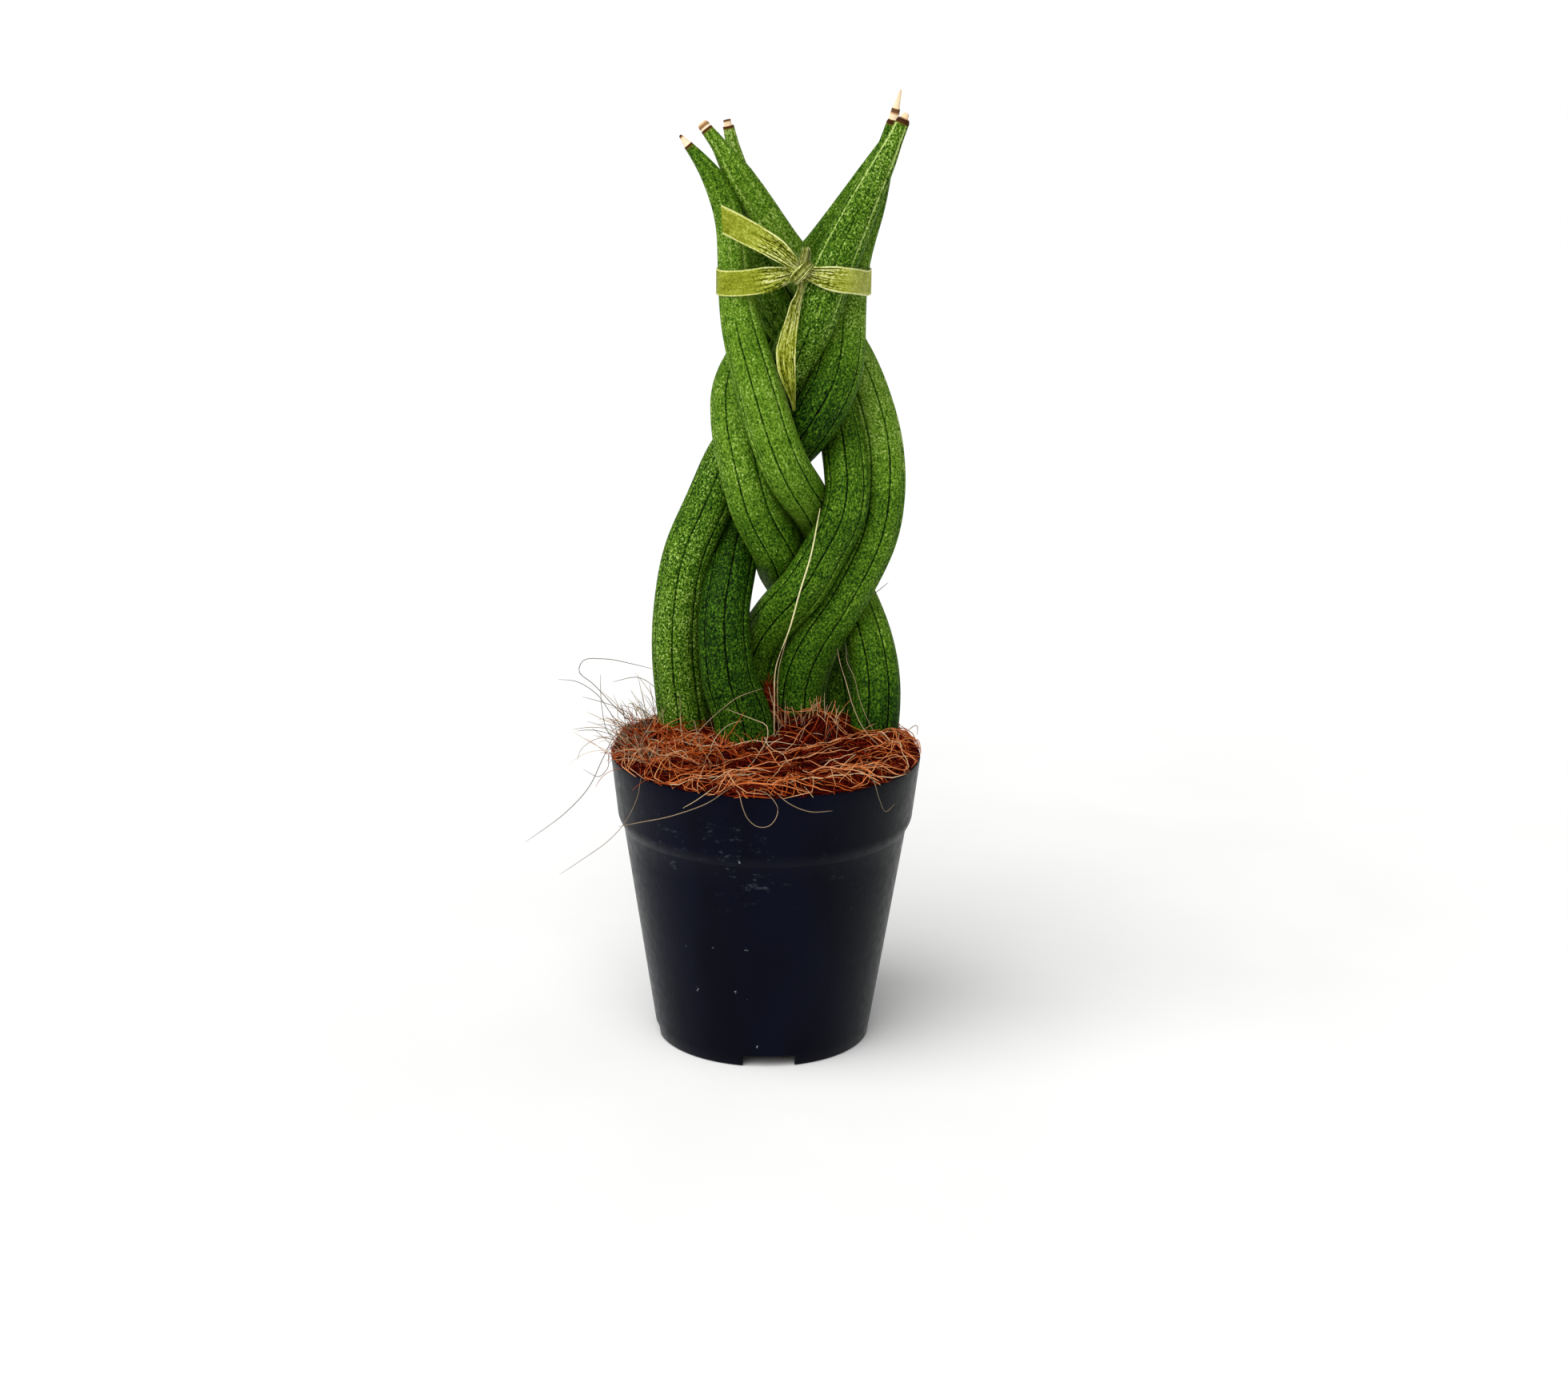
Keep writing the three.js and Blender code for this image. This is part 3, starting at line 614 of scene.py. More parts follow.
def pot_profile():
    """The pot's outline of [radius, height], from the axis out, up, over the rim and back in."""
    neck = POT_HEIGHT - COLLAR_HEIGHT
    collar = neck + COLLAR_SHOULDER

    def outer(height):
        if height < neck:
            return FOOT_RADIUS + (NECK_RADIUS - FOOT_RADIUS) * height / neck
        if height > collar:
            flare = (height - collar) / (POT_HEIGHT - collar)
            return COLLAR_RADIUS + (RIM_RADIUS - COLLAR_RADIUS) * flare
        rounding = math.sin(math.pi / 2 * (height - neck) / COLLAR_SHOULDER)
        return NECK_RADIUS + (COLLAR_RADIUS - NECK_RADIUS) * rounding

    shoulder = [neck + COLLAR_SHOULDER * s for s in (0, 0.08, 0.2, 0.35, 0.5, 0.65, 0.8, 0.92, 1)]
    rise = [EDGE_ROUNDING, 3, 8, 14, 20, 26, 32, 38, *shoulder, 49, 52, 54.5, POT_HEIGHT - EDGE_ROUNDING]
    foot = [[0, 0], [8, 0], [15, 0], [FOOT_RADIUS - EDGE_ROUNDING, 0]]
    foot.append([FOOT_RADIUS - EDGE_BEVEL, EDGE_BEVEL])
    outside = [[outer(h), h] for h in rise]
    lip = [
        [RIM_RADIUS - 0.1, POT_HEIGHT - EDGE_BEVEL],
        [RIM_RADIUS - EDGE_ROUNDING, POT_HEIGHT],
        [RIM_RADIUS - WALL + 0.15, POT_HEIGHT],
    ]
    fall = [h for h in reversed(rise) if h > FLOOR_THICKNESS + 1]
    inside = [[outer(h) - WALL, h] for h in fall]
    bottom = [[outer(FLOOR_THICKNESS) - WALL - 0.8, FLOOR_THICKNESS], [0, FLOOR_THICKNESS]]
    return foot + outside + lip + inside + bottom


def cut_drains(piece):
    """Cuts the notches out of the foot's edge."""
    shift = Matrix.Translation((FOOT_RADIUS * MM, 0, 0))
    size = Matrix.Diagonal((2 * DRAIN_DEPTH * MM, DRAIN_WIDTH * MM, 2 * DRAIN_HEIGHT * MM, 1))
    for number in range(DRAIN_COUNT):
        turn = Matrix.Rotation(DRAIN_TURN + number * 2 * math.pi / DRAIN_COUNT, 4, "Z")
        cutter = bmesh.new()
        bmesh.ops.create_cube(cutter, size=1, matrix=turn @ shift @ size)
        block = bpy.data.meshes.new("drain_notch")
        cutter.to_mesh(block)
        cutter.free()
        tool = put_object("drain_notch", block)
        cut = piece.modifiers.new("notch", "BOOLEAN")
        cut.object = tool
        cut.operation = "DIFFERENCE"
        cut.solver = "EXACT"
        seen = piece.evaluated_get(bpy.context.evaluated_depsgraph_get())
        settled = bpy.data.meshes.new_from_object(seen)
        piece.modifiers.clear()
        piece.data = settled
        bpy.data.objects.remove(tool)


def make_pot():
    profile = np.array(pot_profile())[1:-1]
    cosines, sines = circle(POT_SIDES)
    points, faces = skin(xyz(profile[:, :1] * cosines, profile[:, :1] * sines, profile[:, 1:]))
    piece = put_mesh("nursery_pot", points, faces, pot_look(), "pot")
    cut_drains(piece)
    piece.data.shade_smooth()
    piece.data.set_sharp_from_angle(angle=CREASE_ANGLE)


# Specks of lime on the pot: [x, y, z, radius].
POT_SPECKS = [
    [16.5, -19.4, 32.2, 0.14], [-3, -24.3, 25.5, 0.12], [-12.3, -19.5, 15.4, 0.09], [-5, -22.6, 16.1, 0.11],
    [-3, -22.8, 14.9, 0.05], [-0.8, -21.4, 4.6, 0.04], [-4.4, -27.7, 43.9, 0.1], [-14.5, -19.5, 24.2, 0.03],
    [-9.3, -22.6, 24.9, 0.06], [9.9, -22.5, 26.3, 0.02],
]


def pot_look():
    look = Look("nursery_pot_plastic", specular=0.05)
    place = look.place()
    clouds = look.noise(place, (0.09, 0.09, 0.03), 2)
    navy = look.mix(look.ranged(clouds, 0.35, 0.65), rgb(0, 1, 13), rgb(2, 4, 22))
    # The navy leans to green at the right, a painted reflection.
    parts = look.node("ShaderNodeSeparateXYZ", {"Vector": place}).outputs
    navy = look.mix(look.ranged(parts["X"], 8, 26, 0, 0.7), navy, rgb(5, 9, 11))
    # Water has left faint rings and smears of lime, mostly below the collar.
    belt = look.times(look.ranged(parts["Z"], 32, 40), look.ranged(parts["Z"], 54, 46))
    belt = look.times(belt, look.ranged(parts["X"], 12, -4, 0.3, 1))
    smears = look.noise(place, (0.5, 0.5, 0.9), 5, 0.72)
    areas = look.ranged(look.noise(place, 0.12, 1), 0.42, 0.58)
    lime = look.times(look.ranged(smears, 0.56, 0.72, 0, 0.15), look.times(belt, areas))
    colour = look.mix(lime, navy, rgb(150, 160, 170))
    ragged = look.scaled(place, (1, 1, 0.7))
    dots = 0.0
    for x, y, z, size in POT_SPECKS:
        gap = look.node("ShaderNodeVectorMath", {0: ragged, 1: (x, y, z * 0.7)}, operation="DISTANCE")
        spread = look.sway(gap.outputs["Value"], look.noise(place, 2.6, 2), 1.2)
        dots = look.math("MAXIMUM", dots, look.ranged(spread, 0.15 + size, size))
    colour = look.mix(look.times(dots, 0.55), colour, rgb(170, 178, 184))
    look.set("Base Color", colour)
    worn = look.noise(place, 0.6, 4, 0.6)
    shine = look.ranged(worn, 0.3, 0.7, 0.3, 0.44)
    look.set("Roughness", look.plus(shine, look.times(lime, 0.8)))
    scuffs = look.noise(place, (2, 2, 0.35), 3)
    relief = look.bump(scuffs, 0.02)
    look.set("Normal", look.bump(look.plus(lime, dots), 0.05, normal=relief))
    # Fine dust pales the plastic where it turns away.
    look.set("Sheen Weight", 0.12)
    look.set("Sheen Roughness", 0.35)
    look.set("Sheen Tint", rgb(222, 228, 220))
    return look.material


# ------------------------------------------------------------------ soil and coir


def soil_look():
    look = Look("potting_soil", roughness=0.95, specular=0.2)
    place = look.place()
    crumbs = look.cells(place, 0.7)
    fine = look.noise(place, 1.5, 4, 0.7)
    colour = look.mix(look.ranged(fine, 0.35, 0.65), rgb(34, 20, 12), rgb(84, 54, 32))
    look.set("Base Color", look.mix(look.ranged(crumbs, 0.2, 0.6, 0, 0.5), colour, rgb(24, 14, 9)))
    look.set("Normal", look.bump(look.plus(crumbs, fine), 0.6))
    return look.material


# Where the mat stands higher: [x, y, height, spread].
MAT_HUMPS = [[4, 13, 3.4, 9], [-25, 8, 1.6, 6], [22, 5, 1.0, 6], [0.4, 9, 7.0, 2.2], [10, 7, 2.6, 5]]


def mat_height(x, y):
    """The mat's surface: it rounds up from the rim to its humps."""
    outward = np.minimum(np.hypot(x, y) / 29.6, 1)
    rise = MAT_RISE + 0.45 * (np.sin(0.9 * x + 1.3) * np.cos(0.8 * y) + np.sin(0.45 * x - 0.7 * y))
    for place_x, place_y, height, spread in MAT_HUMPS:
        rise = rise + height * np.exp(-((x - place_x) ** 2 + (y - place_y) ** 2) / spread**2)
    return MAT_EDGE + rise * np.sqrt(np.maximum(1 - outward**8, 0))


def clear_of_leaves(points, gap):
    """Points moved sideways out of the leaves, and which of them were inside one."""
    points = points.copy()
    inside = np.zeros(len(points), bool)
    for line, radii in LEAF_FEET:
        away = points[:, None] - line[None]
        nearest = (np.linalg.norm(away, axis=2) - radii).argmin(1)
        away = away[np.arange(len(points)), nearest]
        distance = np.linalg.norm(away, axis=1)
        short = radii[nearest] + gap - distance
        hit = short > 0
        sideways = away * (1, 1, 0)
        points[hit] += unit(sideways[hit]) * short[hit, None]
        inside |= hit
    return points, inside


def make_mat():
    """The body of the mat, with a hole round each leaf."""
    shape = bmesh.new()
    rows = []
    for row in range(MAT_RINGS + 1):
        radius = MAT_RADIUS * row / MAT_RINGS
        turns = np.arange(MAT_SIDES if row else 1) * 2 * math.pi / MAT_SIDES
        x, y = radius * np.cos(turns), radius * np.sin(turns)
        rows.append(xyz(x, y, mat_height(x, y)))
    points = np.vstack(rows)
    points[:, 2] -= MAT_SINK
    points, inside = clear_of_leaves(points, MAT_GAP)
    corners = [shape.verts.new(p * MM) for p in points]

    def corner(row, side):
        return 0 if row == 0 else 1 + (row - 1) * MAT_SIDES + side % MAT_SIDES

    for row in range(MAT_RINGS):
        for side in range(MAT_SIDES):
            loop = [corner(row, side), corner(row + 1, side)]
            loop += [corner(row + 1, side + 1), corner(row, side + 1)]
            loop = list(dict.fromkeys(loop))
            if not all(inside[c] for c in loop):
                shape.faces.new([corners[c] for c in loop])
    bmesh.ops.delete(shape, geom=[v for v in shape.verts if not v.link_faces], context="VERTS")
    made = bmesh.ops.extrude_face_region(shape, geom=list(shape.faces))
    for vert in made["geom"]:
        if isinstance(vert, bmesh.types.BMVert):
            vert.co = (MAT_NARROWING * vert.co.x, MAT_NARROWING * vert.co.y, MAT_BOTTOM * MM)
    bmesh.ops.recalc_face_normals(shape, faces=shape.faces)
    mesh = bpy.data.meshes.new("coir_mat")
    shape.to_mesh(mesh)
    shape.free()
    faces = [tuple(p.vertices) for p in mesh.polygons]
    points = np.array([v.co for v in mesh.vertices]) / MM
    put_mesh("coir_mat", points, faces, mat_look(), "coir")


def mat_look():
    look = Look("coir_mat", roughness=0.95, specular=0.05)
    place = look.place()
    tangle = look.noise(look.scaled(place, (1, 1, 2)), 1.4, 5, 0.75)
    colour = look.ramp(tangle, [
        [0.3, (26, 1, 0)], [0.5, (66, 7, 1)], [0.62, (96, 20, 4)], [0.75, (132, 44, 14)],
    ])
    look.set("Base Color", colour)
    look.set("Normal", look.bump(tangle, 0.9))
    return look.material


# From dark red-brown through orange and gold to pale straw.
COIR_TONES = [
    [0.0, (44, 1, 0)], [0.25, (90, 12, 2)], [0.5, (146, 44, 12)],
    [0.7, (206, 108, 46)], [0.86, (230, 160, 108)], [1.0, (226, 200, 160)],
]
# From weathered grey-brown through tan to the yellow of fresh straw.
STRAW_TONES = [
    [0.0, (58, 44, 32)], [0.35, (118, 104, 86)], [0.6, (172, 146, 114)],
    [0.8, (216, 190, 148)], [1.0, (252, 246, 186)],
]


def fibre_look(name, tones):
    look = Look(name, roughness=0.6, specular=0.05)
    place = look.place()
    tone = look.sway(look.value("tone"), look.noise(place, 0.5, 2), 0.24)
    look.set("Base Color", look.ramp(tone, tones))
    grain = look.noise(place, 6, 3)
    look.set("Roughness", look.ranged(grain, 0.3, 0.7, 0.5, 0.75))
    look.set("Normal", look.bump(grain, 0.03))
    return look.material


def put_fibres(name, paths, radii, tones, look):
    """One mesh of thin three-sided fibres, from an array of fibres by points by 3."""
    count, rows = paths.shape[:2]
    ahead = unit(np.gradient(paths, axis=1))
    side = unit(np.cross(ahead, UP + 1e-3))
    across = np.cross(ahead, side)
    cosines, sines = circle(3)
    taper = 1 - 0.6 * np.abs(np.linspace(-1, 1, rows)) ** 4
    reach = radii[:, None] * taper[None]
    rings = paths[:, :, None] + reach[:, :, None, None] * (
        cosines[:, None] * side[:, :, None] + sines[:, None] * across[:, :, None]
    )
    size = rows * 3
    row = np.arange(rows - 1)[:, None] * 3
    corner = np.arange(3)[None]
    low = row + corner
    after = row + (corner + 1) % 3
    walls = np.stack([low, after, after + 3, low + 3], axis=-1).reshape(-1, 4)
    starts = np.arange(count) * size
    quads = (starts[:, None, None] + walls[None]).reshape(-1, 4)
    foot = starts[:, None] + np.array([2, 1, 0])
    head = starts[:, None] + size - 3 + np.array([0, 1, 2])
    faces = quads.tolist() + foot.tolist() + head.tolist()
    values = {"tone": np.repeat(tones, size)}
    put_mesh(name, rings.reshape(-1, 3), faces, look, values=values)


def wandering(random, count, rows, length, curl, spread, aim=None):
    """Flat wandering lines: an array of fibres by points by 2, in a disc of the given radius.

    aim is their mean direction and how far they stray from it, where they share one.
    """
    lengths = random.uniform(*length, count)
    step = lengths / (rows - 1)
    place = spread * np.sqrt(random.random(count))
    turn = random.uniform(0, 2 * math.pi, count)
    bend = random.normal(0, curl, count)
    wobble = random.normal(0, 2 * curl, count)
    phase = random.uniform(0, 2 * math.pi, count)
    t = np.linspace(0, 1, rows)
    rate = bend[:, None] + wobble[:, None] * np.sin(2 * math.pi * t + phase[:, None])
    first = random.normal(*aim, count) if aim else random.uniform(0, 2 * math.pi, count)
    heading = first[:, None] + np.cumsum(rate * step[:, None], axis=1)
    moves = headed(heading) * step[:, None, None]
    lines = np.cumsum(moves, axis=1)
    lines -= lines.mean(1, keepdims=True)
    return lines + (place[:, None] * headed(turn))[:, None]


def lying(random, flat, limit, layer, arch):
    """Wandering lines laid over the mat: held inside a radius, arched, and clear of the leaves."""
    radius = np.linalg.norm(flat, axis=2, keepdims=True)
    flat = flat * np.minimum(1, limit / np.maximum(radius, 1e-6))
    count, rows = flat.shape[:2]
    t = np.linspace(0, 1, rows)
    height = mat_height(flat[..., 0], flat[..., 1]) + random.uniform(*layer, count)[:, None]
    height += random.uniform(*arch, count)[:, None] * np.sin(math.pi * t)
    height = np.maximum(height, np.where(radius[..., 0] > MAT_RADIUS - 0.3, MAT_EDGE + 0.1, 0))
    points = np.concatenate([flat, height[..., None]], axis=-1)
    moved, _ = clear_of_leaves(points.reshape(-1, 3), FIBRE_GAP)
    return moved.reshape(points.shape)


def sprung(random, feet, headings, lengths, lift):
    """Fibres that spring from feet, an array of points, and bend over as they go."""
    t = np.linspace(0, 1, SPRUNG_ROWS)
    count = len(feet)
    steep = random.uniform(*lift, count)[:, None] - random.uniform(-0.2, 1.2, count)[:, None] * t
    heading = headings[:, None] + random.normal(0, 0.5, count)[:, None] * t
    moves = xyz(np.cos(heading) * np.cos(steep), np.sin(heading) * np.cos(steep), np.sin(steep))
    points = feet[:, None] + np.cumsum(moves * (lengths / SPRUNG_ROWS)[:, None, None], axis=1)
    points[:, 0] = feet
    moved, _ = clear_of_leaves(points.reshape(-1, 3), FIBRE_GAP)
    return over_rim(moved).reshape(points.shape)


def over_rim(points):
    """Points kept above the mat and the rim, as far out as the rim reaches."""
    points = points.copy()
    radius = np.hypot(points[:, 0], points[:, 1])
    within = radius < RIM_RADIUS + 0.1
    floor = np.maximum(mat_height(points[:, 0], points[:, 1]), POT_HEIGHT + 0.1)
    points[:, 2] = np.where(within, np.maximum(points[:, 2], floor), points[:, 2])
    return points


def make_sprigs(look, random):
    """Loose ends that stand out of the mat, most of all in a tuft at the left."""
    tuft, rim, others = 90, 80, 70
    turns = np.concatenate([
        random.normal(math.pi, 0.3, tuft),
        random.uniform(1.1, 4.2, rim),
        random.uniform(0, 2 * math.pi, others),
    ])
    radii = np.concatenate([
        random.uniform(22, 28.8, tuft),
        random.uniform(24, 28.8, rim),
        23 * np.sqrt(random.random(others)),
    ])
    x, y = radii * np.cos(turns), radii * np.sin(turns)
    feet, _ = clear_of_leaves(xyz(x, y, mat_height(x, y)), FOOT_GAP)
    headings = turns + random.normal(0, 1.0, len(turns))
    lengths = np.concatenate([
        random.uniform(3, 12, tuft), random.uniform(3, 8, rim), random.uniform(2.5, 6, others),
    ])
    paths = sprung(random, feet, headings, lengths, (0.2, 1.4))
    tones = random.uniform(0.2, 0.8, len(paths))
    put_fibres("coir_sprigs", paths, random.uniform(0.05, 0.08, len(paths)), tones, look)


# Short fibres that stand in patches, most of them at the leaves' feet: [x, y, their spreads,
# count, shortest and longest, lowest and highest slope in radians, tone].
TUFTS = [
    [8.5, 6, 4, 1.2, 46, 3, 6, 1.2, 1.5, 0.88],
    [-18, 1, 3, 2.4, 40, 2, 5, 0.8, 1.5, 0.6],
    [-7, -4, 4, 2, 44, 2, 6, 0.6, 1.4, 0.76],
    [0.6, 7.6, 0.7, 0.9, 60, 2, 3.6, 1.0, 1.5, 0.5],
    [-19, -6, 4.5, 5, 60, 4, 12, 0.1, 0.7, 0.6],
    [-24, -1, 2, 5, 60, 3, 9, 0.4, 1.3, 0.55],
]


def make_tufts(look, random):
    paths = []
    tones = []
    for x, y, spread_x, spread_y, count, shortest, longest, lowest, highest, tone in TUFTS:
        xs, ys = random.normal(x, spread_x, count), random.normal(y, spread_y, count)
        feet, _ = clear_of_leaves(xyz(xs, ys, mat_height(xs, ys) - 0.3), FOOT_GAP)
        turns = random.uniform(0, 2 * math.pi, count)
        lengths = random.uniform(shortest, longest, count)
        paths.append(sprung(random, feet, turns, lengths, (lowest, highest)))
        tones.append(random.normal(tone, 0.12, count))
    paths = np.concatenate(paths)
    tones = np.clip(np.concatenate(tones), 0.1, 1)
    put_fibres("coir_tufts", paths, random.uniform(0.05, 0.08, len(paths)), tones, look)


# Long straws, laid one by one: [tone, thickness, route].
STRAWS = [
    [0.3, 0.17, [
        [-25, 6, 58], [-29, 4, 58.8], [-31.2, 1, 55.5], [-34, -4, 50.4], [-38, -9, 47], [-45.4, -14, 42.5],
    ]],
    [0.4, 0.14, [
        [-19, -17, 57.6], [-22.6, -19.4, 58.2], [-23.8, -19.8, 53.6], [-26.8, -19.4, 47.6],
        [-29.2, -19.6, 45], [-34, -20, 41.4], [-38.4, -20.5, 38.4],
    ]],
    [0.5, 0.17, [
        [-3, -22, 57.4], [-6.6, -28, 58.2], [-9.4, -29.8, 56.6], [-16, -26.3, 52.6], [-24.2, -19.4, 48.4],
        [-27.6, -15, 46.2],
    ]],
    [0.52, 0.17, [
        [-6, -26, 57.4], [-4.6, -30.2, 57.9], [-3.9, -31.2, 55.6], [-2.9, -31.8, 53.6], [-1, -32.2, 52.3],
        [0.9, -32, 52.4], [2.2, -31.6, 53.8], [2.5, -31, 55.6], [1.2, -30.6, 57.6], [-3, -27, 58.2],
    ]],
    [0.52, 0.17, [[0, -24, 57.6], [2, -29, 58], [4.2, -30.6, 56.6], [8.5, -29.9, 54.6], [12.6, -28.6, 54.4]]],
    [0.4, 0.16, [
        [18.5, -17, 57.4], [20.4, -22, 57.8], [21.3, -22.7, 55], [22.6, -22.5, 52.4], [24.4, -21, 53.5],
    ]],
    [0.25, 0.17, [
        [-21, 2.6, 57.8], [-27.4, 2, 63], [-33.4, 2, 69.4], [-36.2, 2, 72.2], [-35.6, 2, 73.8],
        [-31.4, 2.5, 74.3], [-26, 3.2, 73.2], [-21.2, 4.4, 71.7],
    ]],
    [0.2, 0.15, [[-25.5, 3.6, 58], [-29.5, 3, 62.4], [-33, 2, 67.6], [-36.8, 1, 70.2], [-40, 0, 70.8]]],
    [0.35, 0.14, [[-28, 0, 57.4], [-30.6, -1, 61], [-31.6, -1.4, 66], [-31.8, -1.6, 72.4]]],
    [0.2, 0.14, [[-22, 0, 58], [-26.8, 0, 64.4], [-31, 0, 66.2], [-35.4, 0, 67.4]]],
    [0.45, 0.14, [[-27, -1, 57.4], [-30, -2, 61.4], [-33.6, -3, 62.2], [-37, -4, 62]]],
    [0.3, 0.15, [[-26, -6, 57.4], [-29.8, -5.6, 57.9], [-30.3, -5, 54.6], [-31.8, -5, 53], [-35, -4, 54]]],
    [0.5, 0.14, [[-24, -4, 57.6], [-29, -4, 60.6], [-33, -5, 60.2], [-35.4, -6, 58.4], [-36, -6, 56.4]]],
    [1.0, 0.38, [[2.6, 1.5, 76.5], [4, 0.6, 80.6], [6.1, -0.5, 88.9], [7.9, -0.6, 95.2], [9.7, -0.5, 105.1]]],
    [0.86, 0.3, [[1.6, 1.4, 58.4], [1.5, 2, 66], [1.8, 2, 73.6], [2.6, 1.5, 76.5]]],
    [0.7, 0.15, [[2.6, 0.8, 58.4], [2.2, 1.8, 65], [2.3, 1.8, 73], [3.4, 1, 78], [5, 0, 84.8]]],
    [0.3, 0.16, [[19, 10, 85.4], [21, 8, 87], [23.2, 8, 88.9]]],
    [0.66, 0.17, [
        [13.5, 3.4, 76.8], [14.1, 2.6, 74], [15.3, 2, 70.4], [16.7, 0.6, 66], [18.8, -1, 62],
        [22.4, -3, 58.6],
    ]],
    [0.5, 0.15, [
        [15.3, 6, 76.6], [15.4, 5, 74], [16.9, 3.6, 71], [17.8, 3, 67.4], [19, 1.6, 64.4], [22, 0, 59],
    ]],
    [0.72, 0.22, [
        [-7.6, -3.6, 66.4], [-4.8, -4, 65.4], [-2.2, -4, 64.4], [0, -4.6, 63.6], [0.4, -6.6, 62],
        [-1, -10, 60], [-2.8, -15, 58.8], [-6, -21, 57.9], [-9.6, -27.6, 58], [-12.6, -28.6, 56],
        [-15, -27.6, 54.2],
    ]],
    [0.5, 0.18, [[-15, -6, 59.6], [-12, -3.4, 62.8], [-8.7, -3.2, 66], [-5.8, -2.9, 68.3], [-0.8, -1.6, 70]]],
    [0.6, 0.17, [[-16.8, 3.8, 67], [-16.6, 3.4, 62], [-16.2, -1, 60], [-14.8, -8, 58.8], [-11.6, -13, 58.2]]],
    [0.76, 0.2, [[0.9, -7, 59.4], [2, -13, 59], [3.9, -17.4, 58.6], [7.4, -25.4, 57.9], [9, -30, 57.4]]],
    [0.66, 0.16, [[-11, -9, 58.2], [-9.4, -5.4, 61.4], [-7, -3.4, 63.2], [-4.4, -3.2, 64]]],
    [0.6, 0.16, [[-20, -11, 58.4], [-24, -4, 59.6], [-22.6, 0, 61.4], [-20.8, 2.4, 64]]],
    [0.6, 0.2, [[24, 2, 57.6], [27.5, 6, 59.6], [29.6, 12, 59], [30, 17, 55.6]]],
    [0.6, 0.2, [[19.6, 19.4, 57.8], [21.5, 22, 60], [25, 25, 58], [27, 28, 53]]],
    [0.5, 0.2, [[-3, 24, 58], [-5, 28, 61.5], [-9, 32, 59], [-14, 35, 56]]],
    [0.4, 0.18, [[-17, 17, 58], [-21, 20, 62.5], [-26, 23, 65], [-31, 23, 64]]],
    [0.6, 0.18, [[8, 24, 58], [13, 29, 60], [15, 31.5, 56], [14.6, 31.6, 50]]],
]


def make_straws(look):
    steps = np.linspace(0, 1, STRAW_ROWS)
    routes = [np.array(route, float) for _, _, route in STRAWS]
    paths = np.array([smooth_line(route, steps * along(route)[-1]) for route in routes])
    radii = np.array([thickness / 2 for _, thickness, _ in STRAWS])
    put_fibres("coir_straws", paths, radii, [tone for tone, _, _ in STRAWS], look)


def make_fibres():
    look = fibre_look("coir_fibre", COIR_TONES)
    random = np.random.default_rng(FIBRE_SEED)
    fuzz = lying(random, wandering(random, FUZZ_COUNT, 5, (2.5, 6), 0.12, 29), 29.2, (-0.3, 0.3), (0, 0.4))
    tones = np.clip(random.normal(0.06, 0.08, len(fuzz)), 0, 0.5)
    put_fibres("coir_fuzz", fuzz, random.uniform(0.05, 0.1, len(fuzz)), tones, look)
    tangle = lying(random, wandering(random, TANGLE_COUNT, 9, (6, 16), 0.05, 29), 29.6, (-0.2, 0.6), (0, 0.7))
    outward = np.linalg.norm(tangle[:, :, :2], axis=2).mean(1) / 29.9
    tones = np.clip(random.normal(0.16, 0.15, len(tangle)) + 0.1 * outward**4, 0, 0.8)
    put_fibres("coir_tangle", tangle, random.uniform(0.07, 0.13, len(tangle)), tones, look)
    # Fresher fibres lie thickest at the left and along the front and right of the rim.
    spread = wandering(random, 120, 15, (14, 36), 0.014, 28)
    heap = wandering(random, 75, 15, (8, 22), 0.012, 10, (1.9, 0.6)) + (-18.5, -8)
    rim = wandering(random, 125, 15, (8, 22), 0.035, 4)
    front = random.random(len(rim)) < 0.5
    turns = np.where(front, random.uniform(-2.2, -0.9, len(rim)), random.uniform(-0.9, 0.35, len(rim)))
    rim += 25 * headed(turns)[:, None]
    gold = lying(random, np.concatenate([spread, heap, rim]), 29.9, (0.1, 1.1), (0, 1.3))
    tones = [random.normal(0.64, 0.2, len(spread)), random.normal(0.71, 0.13, len(heap) + len(rim))]
    tones = np.clip(np.concatenate(tones), 0.15, 1)
    put_fibres("coir_gold", gold, random.uniform(0.06, 0.12, len(gold)), tones, look)
    make_tufts(look, random)
    straw = fibre_look("coir_straw", STRAW_TONES)
    make_sprigs(straw, random)
    make_straws(straw)


# ------------------------------------------------------------------ ribbon


def band_loop():
    """The tightest level loop round the leaves at the band's height, from the knot round."""
    corners = []
    low, high = BAND_RIGHT - 1.2, BAND_LEFT + 1.2
    turns = np.linspace(0, 2 * math.pi, 32, endpoint=False)
    for line, radii in LEAF_LINES:
        for (x, y, z), radius in zip(line, radii):
            if low < z < high:
                reach = radius + LEAF_SWELL + RIBBON_THICKNESS / 2
                corners += [(x + reach * math.cos(t), y + reach * math.sin(t)) for t in turns]
    loop = np.array([corners[i] for i in geometry.convex_hull_2d(corners)])
    area = np.sum(loop[:, 0] * np.roll(loop[:, 1], -1) - loop[:, 1] * np.roll(loop[:, 0], -1))
    if area < 0:
        loop = loop[::-1]
    before = np.roll(loop, 1, axis=0)
    cross = next(i for i in range(len(loop)) if before[i, 0] <= KNOT_PLACE < loop[i, 0])
    share = (KNOT_PLACE - before[cross, 0]) / (loop[cross, 0] - before[cross, 0])
    knot = before[cross] + share * (loop[cross] - before[cross])
    return np.vstack([knot, loop[cross:], loop[:cross], knot])


